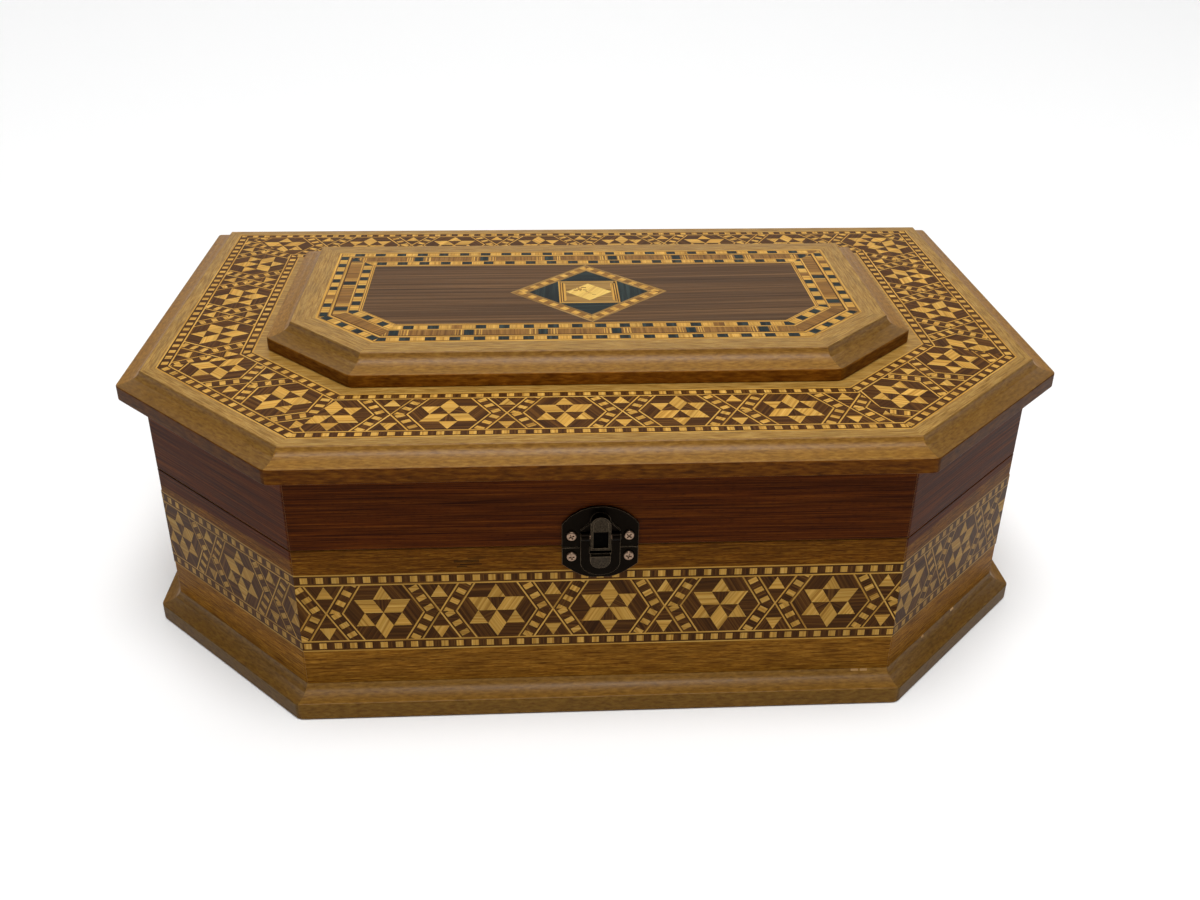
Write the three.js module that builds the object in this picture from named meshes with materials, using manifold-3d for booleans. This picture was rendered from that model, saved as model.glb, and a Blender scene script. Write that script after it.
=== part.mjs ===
// A marquetry jewelry box: a six-sided wooden case and a hinged lid with a raised panel, both with
// inlaid star bands, a small plated latch in front and two butt hinges behind.
// Millimetres throughout. +Z is up, the front faces -Y, and the origin is the middle of the footprint.

import * as THREE from 'three';
import { mergeVertices } from 'three/addons/utils/BufferGeometryUtils.js';
import Module from 'manifold-3d';

const wasm = await Module();
wasm.setup();

// Plan of the walls: a rectangle with both front corners cut at 45 degrees.
const bodyWidth = 305;
const bodyDepth = 201;
const cornerCut = 55;

// Heights and thicknesses of the boards.
const baseThickness = 10;
const caseWallHeight = 52;
const lidWallHeight = 28;
const lidBoardThickness = 9;
const panelThickness = 9;
const wallThickness = 7;

// Mouldings: how far each board stands out, the upright band at its edge, and the cove above it.
const baseOverhang = 6.5;
const baseEdgeBand = 6.2;
const lidOverhang = 7.5;
const lidEdgeBand = 5.2;
const panelInset = 39.5;
const panelCoveWidth = 7.9;
const panelEdgeBand = 4.5;
const coveSteps = 7;

// Marquetry, let into the boards as thin mitred strips.
const veneerThickness = 0.9;
const bandWidth = 30;
const caseBandDrop = 9.1;
const lidBandInset = 5;
const panelMargin = 8.2;
const inlayWidth = 15.6;
const diamondClearance = 0.3;

// Clearances.
const fitGap = 0.3;
const seamGap = 0.4;

// Latch: two plates across the seam, a boss on the upper one, and a hasp that swings on a pin.
const latchShift = -1;
const plateWidth = 24;
const plateThickness = 1;
const upperPlateSide = 8.3;
const upperPlateDome = 6.4;
const lowerPlateSide = 6.3;
const lowerPlateTaper = 5.1;
const lowerPlateFoot = 4.8;
const bossWidth = 6.3;
const bossFoot = 0.7;
const bossHeight = 12;
const bossProud = 3.2;
const latchPinHeight = 4.8;
const latchPinRadius = 0.7;
const barrelRadius = 1.3;
const haspWidth = 12.5;
const haspThickness = 1;
const haspSideDrop = 5;
const haspRoundDrop = 4.8;
const haspSlotDrop = 1.6;
const tongueDrop = 1.9;
const tongueLength = 5.2;
const tongueProud = 1.6;
const shoulderProud = 0.9;
const shoulderRise = 3;
const latchScrewSpacing = 18;
const upperScrewRise = 4.4;
const lowerScrewDrop = 3.2;

// Butt hinges on the back face, half a leaf above the seam and half below.
const hingeSpacing = 170;
const hingeLength = 22;
const leafHeight = 11;
const leafThickness = 0.9;
const knuckleRadius = 2;
const hingePinRadius = 0.8;
const hingeScrewSpacing = 14;
const hingeScrewRise = 7;

// Wood screws, all alike.
const screwHeadRadius = 1.65;
const screwHeadHeight = 0.7;
const screwShankRadius = 0.8;
const screwDepth = 5;
const roundSides = 16;

// Derived levels and places.
const caseTop = baseThickness + caseWallHeight;
const lidWallTop = caseTop + lidWallHeight;
const lidTop = lidWallTop + lidBoardThickness;
const panelTop = lidTop + panelThickness;
const pocketDepth = veneerThickness + fitGap;
const caseBandTop = caseTop - caseBandDrop;
const caseBandBottom = caseBandTop - bandWidth;
const lidBandInner = lidBandInset + bandWidth;
const panelFlatInset = panelInset + panelCoveWidth;
const inlayInset = panelFlatInset + panelMargin;
const fieldInset = inlayInset + inlayWidth;
const latchPinSetback = plateThickness + fitGap + barrelRadius;
const hingeAxisSetback = knuckleRadius + fitGap;
const overrun = 1;
const sideNames = ['front', 'front_right', 'right', 'back', 'left', 'front_left'];

const finishes = {
  goldenWood: { color: 0xa87a34, roughness: 0.5, metalness: 0 },
  redWood: { color: 0x56260c, roughness: 0.45, metalness: 0 },
  baseWood: { color: 0x6a4a1c, roughness: 0.5, metalness: 0 },
  marquetry: { color: 0x8d6a3c, roughness: 0.45, metalness: 0 },
  darkVeneer: { color: 0x5b4232, roughness: 0.4, metalness: 0 },
  blackVeneer: { color: 0x2f3a38, roughness: 0.4, metalness: 0 },
  darkBronze: { color: 0x1c1814, roughness: 0.4, metalness: 1 },
  brass: { color: 0x9c8148, roughness: 0.4, metalness: 1 },
  steel: { color: 0x8d8279, roughness: 0.35, metalness: 1 },
};

// Adds one named piece to a group.
function addPiece(parent, name, geometry, finish) {
  const mesh = new THREE.Mesh(geometry, new THREE.MeshStandardMaterial(finishes[finish]));
  mesh.name = name;
  parent.add(mesh);
}

// Turns a closed three.js geometry into a solid that can be joined and cut.
function solidOf(geometry) {
  const bare = geometry.clone();
  bare.deleteAttribute('normal');
  bare.deleteAttribute('uv');
  const merged = mergeVertices(bare);
  return new wasm.Manifold(new wasm.Mesh({
    numProp: 3,
    vertProperties: new Float32Array(merged.attributes.position.array),
    triVerts: new Uint32Array(merged.index.array),
  }));
}

// Turns a solid back into a three.js geometry.
function geometryOf(solid) {
  const mesh = solid.getMesh();
  const geometry = new THREE.BufferGeometry();
  geometry.setAttribute('position', new THREE.BufferAttribute(mesh.vertProperties, 3));
  geometry.setIndex(new THREE.BufferAttribute(mesh.triVerts, 1));
  geometry.computeVertexNormals();
  return geometry;
}

// The six corners of the plan, moved in by an inset (out where it is negative), anticlockwise.
function contour(inset) {
  const halfWidth = bodyWidth / 2 - inset;
  const halfDepth = bodyDepth / 2 - inset;
  const leg = cornerCut - inset * (2 - Math.SQRT2);
  return [
    new THREE.Vector2(-halfWidth + leg, -halfDepth),
    new THREE.Vector2(halfWidth - leg, -halfDepth),
    new THREE.Vector2(halfWidth, -halfDepth + leg),
    new THREE.Vector2(halfWidth, halfDepth),
    new THREE.Vector2(-halfWidth, halfDepth),
    new THREE.Vector2(-halfWidth, -halfDepth + leg),
  ];
}

// An upright prism over an outline, from one level to another, with an optional hole.
function prism(outline, bottom, top, hole = null) {
  const shape = new THREE.Shape(outline);
  if (hole) shape.holes.push(new THREE.Path(hole));
  const geometry = new THREE.ExtrudeGeometry(shape, { depth: top - bottom, bevelEnabled: false });
  return geometry.translate(0, 0, bottom);
}

// The plan of one mitred strip along a side of the box, with half a joint gap left at each end.
function stripPlan(side, outerInset, innerInset, jointGap) {
  const outer = contour(outerInset);
  const inner = contour(innerInset);
  const next = (side + 1) % outer.length;
  const along = outer[next].clone().sub(outer[side]).normalize();
  const trim = (outerPoint, innerPoint, sign) => {
    const mitre = innerPoint.clone().sub(outerPoint).normalize();
    const shift = along.clone().multiplyScalar((sign * jointGap) / 2 / Math.abs(along.cross(mitre)));
    return [outerPoint.clone().add(shift), innerPoint.clone().add(shift)];
  };
  const [outerStart, innerStart] = trim(outer[side], inner[side], 1);
  const [outerEnd, innerEnd] = trim(outer[next], inner[next], -1);
  return [outerStart, outerEnd, innerEnd, innerStart];
}

// A board over the plan whose upper edge is cut to a cove all round: what is taken away is a quarter
// of an ellipse along each side, so the coves meet in mitres.
function mouldedBoard(inset, bottom, thickness, edgeBand, coveWidth) {
  let board = solidOf(prism(contour(inset), bottom, bottom + thickness));
  const coveHeight = thickness - edgeBand;
  const cove = [new THREE.Vector2(-overrun, edgeBand)];
  for (let step = 0; step <= coveSteps; step += 1) {
    const angle = (Math.PI / 2) * (step / coveSteps);
    cove.push(new THREE.Vector2(coveWidth * Math.sin(angle), thickness - coveHeight * Math.cos(angle)));
  }
  cove.push(new THREE.Vector2(coveWidth, thickness + overrun));
  cove.push(new THREE.Vector2(-overrun, thickness + overrun));
  const corners = contour(inset);
  corners.forEach((start, side) => {
    const end = corners[(side + 1) % corners.length];
    const along = new THREE.Vector3(end.x - start.x, end.y - start.y, 0);
    const length = along.length();
    along.normalize();
    const up = new THREE.Vector3(0, 0, 1);
    const inward = new THREE.Vector3().crossVectors(up, along);
    const reach = 2 * coveWidth;
    const cutter = new THREE.ExtrudeGeometry(new THREE.Shape(cove), {
      depth: length + 2 * reach,
      bevelEnabled: false,
    });
    cutter.translate(0, 0, -reach);
    cutter.applyMatrix4(new THREE.Matrix4().makeBasis(inward, up, along));
    cutter.translate(start.x, start.y, bottom);
    board = board.subtract(solidOf(cutter));
  });
  return board;
}

// A plate that stands on the front or back face: a shape drawn in X and Z, thickened towards -Y.
function facePlate(shape, fromWall, toFace) {
  const geometry = new THREE.ExtrudeGeometry(shape, {
    depth: toFace - fromWall,
    bevelEnabled: false,
    curveSegments: roundSides / 2,
  });
  return geometry.rotateX(Math.PI / 2).translate(0, -fromWall, 0);
}

// A round bar along X between two places.
function barAlongX(radius, fromX, toX, y, z) {
  const bar = new THREE.CylinderGeometry(radius, radius, toX - fromX, roundSides);
  return bar.rotateZ(Math.PI / 2).translate((fromX + toX) / 2, y, z);
}

// The clearance hole of a screw through a plate and into the wood, at x and z on the wall's face.
function screwHole(x, z, plate) {
  const length = plate + screwDepth + fitGap + overrun;
  const hole = new THREE.CylinderGeometry(screwShankRadius + fitGap, screwShankRadius + fitGap, length, roundSides);
  return solidOf(hole.translate(0, length / 2 - screwDepth - fitGap, 0).rotateX(Math.PI).translate(x, 0, z));
}

// A domed screw whose head seats on a plate on the wall's face.
function screw(x, z, plate) {
  const seat = plate + fitGap;
  const profile = [
    new THREE.Vector2(0, -screwDepth),
    new THREE.Vector2(screwShankRadius, -screwDepth + screwShankRadius * 2),
    new THREE.Vector2(screwShankRadius, seat),
    new THREE.Vector2(screwHeadRadius, seat),
    new THREE.Vector2(screwHeadRadius * 0.93, seat + screwHeadHeight * 0.5),
    new THREE.Vector2(screwHeadRadius * 0.6, seat + screwHeadHeight * 0.88),
    new THREE.Vector2(0, seat + screwHeadHeight),
  ];
  return new THREE.LatheGeometry(profile, roundSides).rotateX(Math.PI).translate(x, 0, z);
}

// Everything that stands on the front or back wall is drawn as on the front, round the middle of the
// seam, with the wall's face at y = 0 and outwards towards -Y.
const frontPlace = new THREE.Matrix4().makeTranslation(latchShift, -bodyDepth / 2, caseTop);
const latchScrewXs = [-latchScrewSpacing / 2, latchScrewSpacing / 2];
const hingeScrewXs = [-hingeScrewSpacing / 2, hingeScrewSpacing / 2];
const hingeSides = { left: -1, right: 1 };

function backPlace(sign) {
  const place = new THREE.Matrix4().makeTranslation((sign * hingeSpacing) / 2, bodyDepth / 2, caseTop);
  return place.multiply(new THREE.Matrix4().makeRotationZ(Math.PI));
}

// Cuts the pilot holes of the latch and the hinges out of a front or back wall.
function withPilotHoles(wall, name, latchLevel, hingeLevel) {
  let drilled = wall;
  if (name === 'front') {
    latchScrewXs.forEach((x) => {
      const hole = geometryOf(screwHole(x, latchLevel, plateThickness));
      drilled = drilled.subtract(solidOf(hole.applyMatrix4(frontPlace)));
    });
  }
  if (name === 'back') {
    Object.values(hingeSides).forEach((sign) => {
      hingeScrewXs.forEach((x) => {
        const hole = geometryOf(screwHole(x, hingeLevel, leafThickness));
        drilled = drilled.subtract(solidOf(hole.applyMatrix4(backPlace(sign))));
      });
    });
  }
  return drilled;
}

// The case: a moulded base board and six mitred walls, each with a pocket for its star band.
function buildCase(parent) {
  const base = mouldedBoard(-baseOverhang, 0, baseThickness, baseEdgeBand, baseOverhang);
  addPiece(parent, 'base_board', geometryOf(base), 'baseWood');
  const pocket = solidOf(prism(contour(-overrun), caseBandBottom, caseBandTop, contour(pocketDepth)));
  sideNames.forEach((name, side) => {
    const plan = stripPlan(side, 0, wallThickness, fitGap);
    const wall = solidOf(prism(plan, baseThickness, caseTop - seamGap / 2)).subtract(pocket);
    const drilled = withPilotHoles(wall, name, -lowerScrewDrop, -hingeScrewRise);
    addPiece(parent, `case_wall_${name}`, geometryOf(drilled), 'goldenWood');
    const strip = prism(
      stripPlan(side, 0, veneerThickness, fitGap),
      caseBandBottom + fitGap,
      caseBandTop - fitGap,
    );
    addPiece(parent, `case_band_${name}`, strip, 'marquetry');
  });
}

// The lid: six mitred walls, a moulded board with a ring of star bands, and a raised panel.
function buildLid(parent) {
  sideNames.forEach((name, side) => {
    const plan = stripPlan(side, 0, wallThickness, fitGap);
    const wall = solidOf(prism(plan, caseTop + seamGap / 2, lidWallTop));
    const drilled = withPilotHoles(wall, name, upperScrewRise, hingeScrewRise);
    addPiece(parent, `lid_wall_${name}`, geometryOf(drilled), 'redWood');
  });
  const pocket = prism(contour(lidBandInset), lidTop - pocketDepth, lidTop + overrun, contour(lidBandInner));
  const board = mouldedBoard(-lidOverhang, lidWallTop, lidBoardThickness, lidEdgeBand, lidOverhang);
  addPiece(parent, 'lid_board', geometryOf(board.subtract(solidOf(pocket))), 'goldenWood');
  sideNames.forEach((name, side) => {
    const plan = stripPlan(side, lidBandInset + fitGap, lidBandInner - fitGap, fitGap);
    addPiece(parent, `lid_band_${name}`, prism(plan, lidTop - veneerThickness, lidTop), 'marquetry');
  });
}

// The raised panel with its string inlay, the two halves of the dark field and the diamond between.
function buildPanel(parent) {
  const floor = panelTop - pocketDepth;
  const veneerFoot = panelTop - veneerThickness;
  const pocket = prism(contour(inlayInset), floor, panelTop + overrun);
  const panel = mouldedBoard(panelInset, lidTop, panelThickness, panelEdgeBand, panelCoveWidth);
  addPiece(parent, 'panel_board', geometryOf(panel.subtract(solidOf(pocket))), 'goldenWood');
  const ring = prism(contour(inlayInset + fitGap), veneerFoot, panelTop, contour(fieldInset));
  addPiece(parent, 'panel_inlay', ring, 'marquetry');
  const reach = bodyDepth / 2 - fieldInset - diamondClearance;
  const diamondPlan = (half) => [
    new THREE.Vector2(0, -half),
    new THREE.Vector2(half, 0),
    new THREE.Vector2(0, half),
    new THREE.Vector2(-half, 0),
  ];
  const cut = solidOf(prism(diamondPlan(reach + 2 * diamondClearance), floor, panelTop + overrun));
  const field = solidOf(prism(contour(fieldInset + fitGap), veneerFoot, panelTop)).subtract(cut);
  Object.entries(hingeSides).forEach(([name, sign]) => {
    const half = new THREE.BoxGeometry(bodyWidth / 2, bodyDepth, panelThickness);
    half.translate((sign * bodyWidth) / 4, 0, panelTop);
    addPiece(parent, `panel_field_${name}`, geometryOf(field.intersect(solidOf(half))), 'darkVeneer');
  });
  addPiece(parent, 'panel_diamond', prism(diamondPlan(reach), veneerFoot, panelTop), 'blackVeneer');
}

// Outline of the upper latch plate: straight sides under a shallow dome.
function upperPlateShape() {
  const half = plateWidth / 2;
  const radius = (half * half + upperPlateDome * upperPlateDome) / (2 * upperPlateDome);
  const centre = upperPlateSide + upperPlateDome - radius;
  const spread = Math.asin(half / radius);
  const shape = new THREE.Shape();
  shape.moveTo(-half, seamGap / 2);
  shape.lineTo(half, seamGap / 2);
  shape.lineTo(half, upperPlateSide);
  shape.absarc(0, centre, radius, Math.PI / 2 - spread, Math.PI / 2 + spread, false);
  return shape;
}

// Outline of the lower latch plate: straight sides that draw in to a short flat foot.
function lowerPlateShape() {
  const half = plateWidth / 2;
  const foot = -lowerPlateSide - lowerPlateTaper;
  const shape = new THREE.Shape();
  shape.moveTo(half, -seamGap / 2);
  shape.lineTo(-half, -seamGap / 2);
  shape.lineTo(-half, -lowerPlateSide);
  shape.quadraticCurveTo(-half / 2, foot, -lowerPlateFoot / 2, foot);
  shape.lineTo(lowerPlateFoot / 2, foot);
  shape.quadraticCurveTo(half / 2, foot, half, -lowerPlateSide);
  return shape;
}

// A tombstone: a rectangle with a half-round end, upwards or downwards.
function tombstone(width, foot, height, upwards) {
  const radius = width / 2;
  const far = upwards ? foot + height - radius : foot - height + radius;
  const shape = new THREE.Shape();
  shape.moveTo(upwards ? -radius : radius, foot);
  shape.lineTo(upwards ? radius : -radius, foot);
  shape.lineTo(upwards ? radius : -radius, far);
  const start = upwards ? 0 : Math.PI;
  shape.absarc(0, far, radius, start, start + Math.PI, false);
  return shape;
}

// The raised collar beside the boss, which slopes up from the hasp's barrels to the boss.
function shoulderShape() {
  const half = haspWidth / 2;
  const foot = latchPinHeight + barrelRadius + fitGap;
  const shape = new THREE.Shape();
  shape.moveTo(-half, foot);
  shape.lineTo(half, foot);
  shape.lineTo(bossWidth / 2, foot + shoulderRise);
  shape.lineTo(-bossWidth / 2, foot + shoulderRise);
  return shape;
}

// The upper plate is one casting with its boss and collar, bored for the hasp's pin.
function upperPlate() {
  const bore = barAlongX(latchPinRadius + fitGap, -haspWidth, haspWidth, -latchPinSetback, latchPinHeight);
  const boss = tombstone(bossWidth, bossFoot, bossHeight, true);
  const collarFace = plateThickness + shoulderProud;
  let plate = solidOf(facePlate(upperPlateShape(), 0, plateThickness))
    .add(solidOf(facePlate(shoulderShape(), 0, collarFace)))
    .add(solidOf(facePlate(boss, 0, plateThickness + bossProud)))
    .subtract(solidOf(bore));
  latchScrewXs.forEach((x) => {
    plate = plate.subtract(screwHole(x, upperScrewRise, plateThickness));
  });
  return plate;
}

function lowerPlate() {
  let plate = solidOf(facePlate(lowerPlateShape(), 0, plateThickness));
  latchScrewXs.forEach((x) => {
    plate = plate.subtract(screwHole(x, -lowerScrewDrop, plateThickness));
  });
  return plate;
}

// The hasp: a round-ended flap with a slot round the boss, two barrels and a pressed finger tongue.
function hasp() {
  const half = haspWidth / 2;
  const slotHalf = bossWidth / 2 + fitGap;
  const back = plateThickness + fitGap;
  const front = back + haspThickness;
  const outline = new THREE.Shape();
  outline.moveTo(half, latchPinHeight);
  outline.lineTo(slotHalf, latchPinHeight);
  outline.lineTo(slotHalf, -haspSlotDrop);
  outline.lineTo(-slotHalf, -haspSlotDrop);
  outline.lineTo(-slotHalf, latchPinHeight);
  outline.lineTo(-half, latchPinHeight);
  outline.lineTo(-half, -haspSideDrop);
  outline.absellipse(0, -haspSideDrop, half, haspRoundDrop, Math.PI, 2 * Math.PI, false);
  const wedge = new THREE.Shape();
  wedge.moveTo(-front + haspThickness / 2, -tongueDrop);
  wedge.lineTo(-front + haspThickness / 2, -tongueDrop - tongueLength);
  wedge.lineTo(-front - fitGap, -tongueDrop - tongueLength);
  wedge.lineTo(-front - tongueProud, -tongueDrop);
  const wedgeBar = new THREE.ExtrudeGeometry(wedge, { depth: bossWidth, bevelEnabled: false });
  wedgeBar.translate(0, 0, -bossWidth / 2);
  const acrossToX = new THREE.Matrix4().makeBasis(
    new THREE.Vector3(0, 1, 0),
    new THREE.Vector3(0, 0, 1),
    new THREE.Vector3(1, 0, 0),
  );
  wedgeBar.applyMatrix4(acrossToX);
  const tongueOutline = tombstone(bossWidth, -tongueDrop, tongueLength, false);
  const tongue = solidOf(facePlate(tongueOutline, back, front + tongueProud)).intersect(solidOf(wedgeBar));
  const barrels = [[-half, -slotHalf], [slotHalf, half]].map(([fromX, toX]) => (
    solidOf(barAlongX(barrelRadius, fromX, toX, -latchPinSetback, latchPinHeight))
  ));
  const bore = barAlongX(latchPinRadius + fitGap, -haspWidth, haspWidth, -latchPinSetback, latchPinHeight);
  return solidOf(facePlate(outline, back, front))
    .add(barrels[0])
    .add(barrels[1])
    .add(tongue)
    .subtract(solidOf(bore));
}

function buildLatch(parent) {
  const place = (geometry) => geometry.applyMatrix4(frontPlace);
  addPiece(parent, 'latch_lower_plate', place(geometryOf(lowerPlate())), 'darkBronze');
  addPiece(parent, 'latch_upper_plate', place(geometryOf(upperPlate())), 'darkBronze');
  addPiece(parent, 'latch_hasp', place(geometryOf(hasp())), 'darkBronze');
  const pinHalf = haspWidth / 2;
  const pin = barAlongX(latchPinRadius, -pinHalf, pinHalf, -latchPinSetback, latchPinHeight);
  addPiece(parent, 'latch_pin', place(pin), 'darkBronze');
  Object.entries(hingeSides).forEach(([name, sign]) => {
    const x = (sign * latchScrewSpacing) / 2;
    const upper = screw(x, upperScrewRise, plateThickness);
    const lower = screw(x, -lowerScrewDrop, plateThickness);
    addPiece(parent, `latch_screw_upper_${name}`, place(upper), 'steel');
    addPiece(parent, `latch_screw_lower_${name}`, place(lower), 'steel');
  });
}

// One hinge leaf, above the seam (rise 1) or below it (rise -1), with the knuckles at the given spans.
function hingeLeaf(rise, spans) {
  const clear = knuckleRadius + fitGap;
  const box = (fromX, toX, fromZ, toZ) => {
    const plate = new THREE.BoxGeometry(toX - fromX, leafThickness, Math.abs(toZ - fromZ));
    return solidOf(plate.translate((fromX + toX) / 2, -leafThickness / 2 - fitGap, (fromZ + toZ) / 2));
  };
  let leaf = box(-hingeLength / 2, hingeLength / 2, rise * clear, rise * leafHeight);
  spans.forEach(([fromX, toX]) => {
    leaf = leaf
      .add(box(fromX, toX, 0, rise * (clear + overrun)))
      .add(solidOf(barAlongX(knuckleRadius, fromX, toX, -hingeAxisSetback, 0)));
  });
  const bore = barAlongX(hingePinRadius + fitGap, -hingeLength, hingeLength, -hingeAxisSetback, 0);
  leaf = leaf.subtract(solidOf(bore));
  hingeScrewXs.forEach((x) => {
    leaf = leaf.subtract(screwHole(x, rise * hingeScrewRise, leafThickness));
  });
  return leaf;
}

function buildHinges(parent) {
  const half = hingeLength / 2;
  const third = hingeLength / 6;
  Object.entries(hingeSides).forEach(([name, sign]) => {
    const place = (geometry) => geometry.applyMatrix4(backPlace(sign));
    const lower = hingeLeaf(-1, [[-half, -third - fitGap / 2], [third + fitGap / 2, half]]);
    const upper = hingeLeaf(1, [[-third + fitGap / 2, third - fitGap / 2]]);
    const pin = barAlongX(hingePinRadius, -half, half, -hingeAxisSetback, 0);
    addPiece(parent, `hinge_leaf_lower_${name}`, place(geometryOf(lower)), 'brass');
    addPiece(parent, `hinge_leaf_upper_${name}`, place(geometryOf(upper)), 'brass');
    addPiece(parent, `hinge_pin_${name}`, place(pin), 'brass');
    hingeScrewXs.forEach((x, index) => {
      const label = `${name}_${index + 1}`;
      const upperScrew = screw(x, hingeScrewRise, leafThickness + fitGap);
      const lowerScrew = screw(x, -hingeScrewRise, leafThickness + fitGap);
      addPiece(parent, `hinge_screw_upper_${label}`, place(upperScrew), 'brass');
      addPiece(parent, `hinge_screw_lower_${label}`, place(lowerScrew), 'brass');
    });
  });
}

const box = new THREE.Group();
buildCase(box);
buildLid(box);
buildPanel(box);
buildLatch(box);
buildHinges(box);

export default box;
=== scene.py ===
"""Looks of a six-sided wooden jewelry box with star marquetry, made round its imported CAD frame.

Sizes are in millimetres, and each mesh is brought to metres when its piece is finished. Every wood
reads its grain from the piece's own "grain" map, which is in millimetres too, with u along the grain.
"""

import logging
import math
import random
from collections.abc import Callable, Iterable
from dataclasses import dataclass, field, replace
from enum import Enum, IntEnum
from typing import NamedTuple

import bmesh
import bpy
from mathutils import Matrix, Vector


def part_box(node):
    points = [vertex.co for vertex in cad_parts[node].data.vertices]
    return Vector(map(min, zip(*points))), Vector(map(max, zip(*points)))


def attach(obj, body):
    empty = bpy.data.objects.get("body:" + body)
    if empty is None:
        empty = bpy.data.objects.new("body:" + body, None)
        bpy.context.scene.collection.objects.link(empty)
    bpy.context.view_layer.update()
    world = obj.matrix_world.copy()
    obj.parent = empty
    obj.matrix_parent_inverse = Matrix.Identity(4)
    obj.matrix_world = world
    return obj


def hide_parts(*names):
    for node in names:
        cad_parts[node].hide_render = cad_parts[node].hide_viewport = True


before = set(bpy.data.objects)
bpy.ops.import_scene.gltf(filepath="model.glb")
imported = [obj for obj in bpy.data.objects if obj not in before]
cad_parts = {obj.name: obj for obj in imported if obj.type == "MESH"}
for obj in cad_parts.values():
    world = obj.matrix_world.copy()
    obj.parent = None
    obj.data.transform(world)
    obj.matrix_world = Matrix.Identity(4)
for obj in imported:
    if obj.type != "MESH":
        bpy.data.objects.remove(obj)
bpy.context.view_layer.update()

MM = 0.001
ROOT3 = math.sqrt(3)
# The grain map's name, and the name of the faces' attribute that tells how far handling has worn them and
# where a painted highlight lies.
GRAIN = "grain"
RUB_AND_PAINTED_HIGHLIGHT = "rub"
# The CAD trims its veneers by this much at each edge, in millimetres.
FIT_GAP = 0.3
VENEER_THICKNESS = 0.9
# Veneers are flat, so their faces stay crisp where they meet at more than this many degrees.
VENEER_SMOOTH = 20.0
METAL_SMOOTH = 30.0
# A level above the whole box, for a side whose veneer never turns dark.
NEVER = 1000.0
SIDES = ("front", "front_right", "right", "back", "left", "front_left")
# The two cut corners, whose veneers and mouldings are painted darker than the rest, as painted shade on these
# slanting faces.
SHADED_CORNERS = (1, 5)
# How much light the painted shade at the cut corners leaves.
CORNER_SHADE_SHARE = 0.66
log = logging.getLogger("jewelry_box")


def millimetres(node: str) -> tuple[Vector, Vector]:
    """Gives a CAD node's lowest and highest corners in millimetres."""
    low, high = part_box(node)
    return low / MM, high / MM


def linear(code: str) -> tuple[float, float, float, float]:
    """Turns an sRGB hex colour to the linear colour that shaders take.

    Args:
        code: Six hex digits after a number sign.

    Returns:
        Red, green, blue and alpha.
    """
    parts = [int(code[i : i + 2], 16) / 255 for i in (1, 3, 5)]
    curve = [p / 12.92 if p <= 0.04045 else ((p + 0.055) / 1.055) ** 2.4 for p in parts]
    return (*curve, 1.0)


def add_node(tree: bpy.types.NodeTree, kind: str, inputs: dict | None = None, stops: dict | None = None,
             **settings) -> bpy.types.Node:
    """Adds one shader node with its settings and links.

    Args:
        tree: The material's node tree.
        kind: The node's type name.
        inputs: Socket name or number to a value, or to the socket that feeds it.
        stops: Colour ramp place to hex colour, for a colour ramp.
        settings: The node's own attributes.

    Returns:
        The new node.
    """
    node = tree.nodes.new(kind)
    for name, value in settings.items():
        setattr(node, name, value)
    for key, value in (inputs or {}).items():
        if isinstance(value, bpy.types.NodeSocket):
            tree.links.new(value, node.inputs[key])
        else:
            node.inputs[key].default_value = value
    for index, (place, code) in enumerate((stops or {}).items()):
        elements = node.color_ramp.elements
        element = elements[index] if index < 2 else elements.new(place)
        element.position = place
        element.color = linear(code)
    return node


def deepened(code: str, share: float) -> str:
    """Gives an sRGB hex colour that sends back only a share of the light."""
    scale = share ** (1 / 2.2)
    return "#" + "".join(f"{round(int(code[i : i + 2], 16) * scale):02x}" for i in (1, 3, 5))


@dataclass(frozen=True)
class Finish:
    """What a piece is made of and how its surface was made.

    Attributes:
        title: Common name and how the surface was made.
    """

    title: str

    def material(self) -> bpy.types.Material:
        """Makes the material once and gives the same one afterwards.

        Returns:
            The material, named for this finish.
        """
        made = bpy.data.materials.get(self.title)
        if not made:
            made = bpy.data.materials.new(self.title)
            made.use_nodes = True
            made.node_tree.nodes.clear()
            self.dress(made.node_tree)
        return made

    def dress(self, tree: bpy.types.NodeTree) -> None:
        """Adds the finish's nodes to an empty material."""
        raise NotImplementedError(self.title)


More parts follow.
